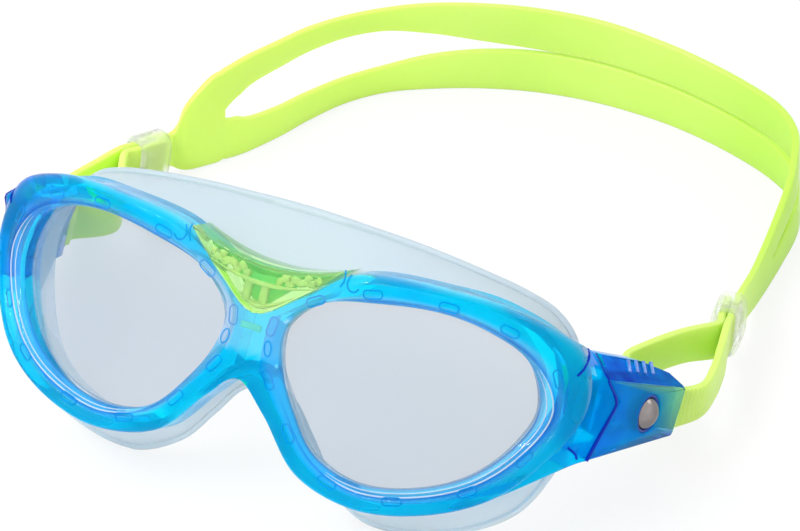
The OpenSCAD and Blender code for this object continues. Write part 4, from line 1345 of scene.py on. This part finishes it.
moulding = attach(front_frame(), "mask")
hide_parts("front_frame", "side_arm_left", "side_arm_right")
for side, hand in SIDES:
    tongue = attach(hinge_tongue(side, "hinge_tongue_" + hand), "mask")
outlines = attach(anchor_outlines(), "mask")
for side, hand in SIDES:
    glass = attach(lens(side, "lens_pane_" + hand), "mask")
    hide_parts("lens_" + hand)
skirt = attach(face_skirt(), "mask")
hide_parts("face_skirt")
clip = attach(eased("bridge_clip", "bridge_clip_moulding", 0.5, CLIP_GREEN, 3), "mask")
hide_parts("bridge_clip")
for ob in (clip_insert(), clip_ribs(), clip_line(), bridge_tab()):
    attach(ob, "mask")
for ob in (lip_beads(), clip_hooks(), clip_ends(), ear_arcs(), chevron_line(1, "ear_gap_shade_left"),
           chevron_line(-1, "ear_gap_shade_right")):
    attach(ob, "mask")
for side, hand in SIDES:
    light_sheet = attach(lens_light_sheet(side, "lens_light_sheet_" + hand), "mask")

# The strap is cut behind each keeper, and the runs hang between keeper and buckle
route, side_count, rear_count = strap_route()
right_cut, left_cut = (side_count - 3) * PATH_STEPS, (side_count + rear_count + 2) * PATH_STEPS
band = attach(strap_piece("strap_band", route, right_cut, left_cut), "mask")
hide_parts("head_strap")
last = len(route) - 1
for hand, lo, hi in (("right", 0, right_cut), ("left", left_cut, last)):
    def near_buckle(i, hand=hand):
        k = i if hand == "right" else last - i
        return ease(1 - abs(k / PATH_STEPS - RIB_STATION) / RIB_REACH)

    run = strap_piece("strap_run_" + hand, route, lo, hi, near_buckle)
    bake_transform(run)
    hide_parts("head_strap")

# Moulded solids that move: rounding, shortest edge that is rounded, finish, body and slot
MOVED = {"buckle_cover": (0.35, 2.5, COVER_BLUE, "buckle_", "buckle_blue"),
         "buckle_base": (0.2, 0, BASE_BLUE, "buckle_", "buckle_blue"),
         "button": (0.3, 0, BUTTON_PEWTER, "button_", "button_pewter"),
         "pawl": (0.2, 0, PAWL_PALE, "pawl_", "pawl_plastic")}
for side, hand in SIDES:
    for node, (width, least, material, body, slot) in MOVED.items():
        ob = eased(node + "_" + hand, node + "_moulding_" + hand, width, material, 3, least)
        if node == "buckle_cover":
            mark_cover(ob, side)
        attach(ob, body + hand)
        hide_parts(node + "_" + hand)
    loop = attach(keeper_loop(side, "strap_keeper_loop_" + hand), "keeper_" + hand)
    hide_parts("strap_keeper_" + hand)
    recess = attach(button_recess_shade(side, "button_recess_" + hand), "buckle_" + hand)
    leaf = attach(eased("pawl_spring_" + hand, "pawl_leaf_" + hand, 0.08, PIN_STEEL, 2), "buckle_" + hand)
    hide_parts("pawl_spring_" + hand)
    zero, turn = buckle_axes(side)
    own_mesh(leaf)
    for node in ("hinge_pin", "pawl_pin"):
        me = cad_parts[node + "_" + hand].data
        for k in range(len(me.materials)):
            me.materials[k] = PIN_STEEL


# Floor, light and camera

FLOOR_REACH = 6.0
FLOOR_Z = -0.0002
FLOOR_GLOW = 0.8
AIR_LEVEL = 0.76

# Softboxes: place, aim, size and power
LAMPS = {"key_softbox": ((-0.5, -0.35, 0.85), (0, -0.03, 0.03), (0.7, 0.5), 3.9),
         "rim_softbox": ((0.35, 0.75, 0.7), (0, 0, 0.03), (0.8, 0.4), 1.8),
         "front_top": ((-0.2, -0.95, 1.1), (0, -0.02, 0.03), (0.7, 0.5), 2.5),
         "strip_left": ((-0.3, -0.5, 0.75), (0, -0.07, 0.04), (0.6, 0.02), 2.2)}

# The camera's axes, its place in millimetres before the shift, and its focal length
CAMERA_AXES = ((0.9002, 0.43508, 0.01868), (-0.27178, 0.52776, 0.80474), (0.34027, -0.7295, 0.59334))
CAMERA_PLACE = (373.09, -722.81, 617.3 + FRONT_H)
CAMERA_LENS = 207.03


def plain_sight(nt):
    """1 for rays that come from the camera, a gloss or a clear piece, which see the plain background."""
    path = nt.nodes.new("ShaderNodeLightPath").outputs
    share = reckon(nt, "MAXIMUM", path["Is Camera Ray"], path["Is Glossy Ray"])
    return reckon(nt, "MAXIMUM", share, path["Is Transmission Ray"])


def floor():
    me = bpy.data.meshes.new("studio_floor")
    corners = [(x * FLOOR_REACH, y * FLOOR_REACH, FLOOR_Z) for x, y in ((-1, -1), (1, -1), (1, 1), (-1, 1))]
    me.from_pydata(corners, [], [(0, 1, 2, 3)])
    m, nt = new_material("floor_white")
    finish(m, {"Base Color": (0.9, 0.9, 0.9, 1), "Roughness": 0.9, "Specular IOR Level": 0.0})
    glow, both = nt.nodes.new("ShaderNodeEmission"), nt.nodes.new("ShaderNodeMixShader")
    glow.inputs["Color"].default_value = (1, 1, 1, 1)
    feed(nt, both.inputs[0], reckon(nt, "MULTIPLY", plain_sight(nt), FLOOR_GLOW))
    feed(nt, both.inputs[1], nt.nodes["Principled BSDF"].outputs[0])
    feed(nt, both.inputs[2], glow.outputs[0])
    feed(nt, nt.nodes["Material Output"].inputs["Surface"], both.outputs[0])
    me.materials.append(m)
    put("studio_floor", me)


def air():
    """A white surrounding that lights the part a little less than it shows."""
    scene.world = bpy.data.worlds.new("studio_air")
    scene.world.use_nodes = True
    nt = scene.world.node_tree
    light = nt.nodes["Background"].inputs
    light["Color"].default_value = (1, 1, 1, 1)
    feed(nt, light["Strength"], ramp(nt, plain_sight(nt), 0.0, 1.0, AIR_LEVEL, 1.0))


def lamps():
    for name, (place, aim, size, power) in LAMPS.items():
        data = bpy.data.lights.new(name, "AREA")
        data.shape = "RECTANGLE"
        data.size, data.size_y = size
        data.energy = power
        ob = put(name, data)
        ob.location = place
        ob.rotation_euler = (Vector(aim) - Vector(place)).to_track_quat("-Z", "Y").to_euler()


def camera():
    data = bpy.data.cameras.new("photo_camera")
    data.sensor_fit = "HORIZONTAL"
    data.sensor_width = 36
    data.lens = CAMERA_LENS
    data.clip_start, data.clip_end = 0.05, 20
    ob = put("photo_camera", data)
    turn = Matrix(CAMERA_AXES).transposed().to_4x4()
    ob.matrix_world = Matrix.Translation(Vector(standing(CAMERA_PLACE))) @ turn
    scene.camera = ob


floor()
air()
lamps()
camera()
scene.view_settings.view_transform = "Standard"

bpy.context.view_layer.update()
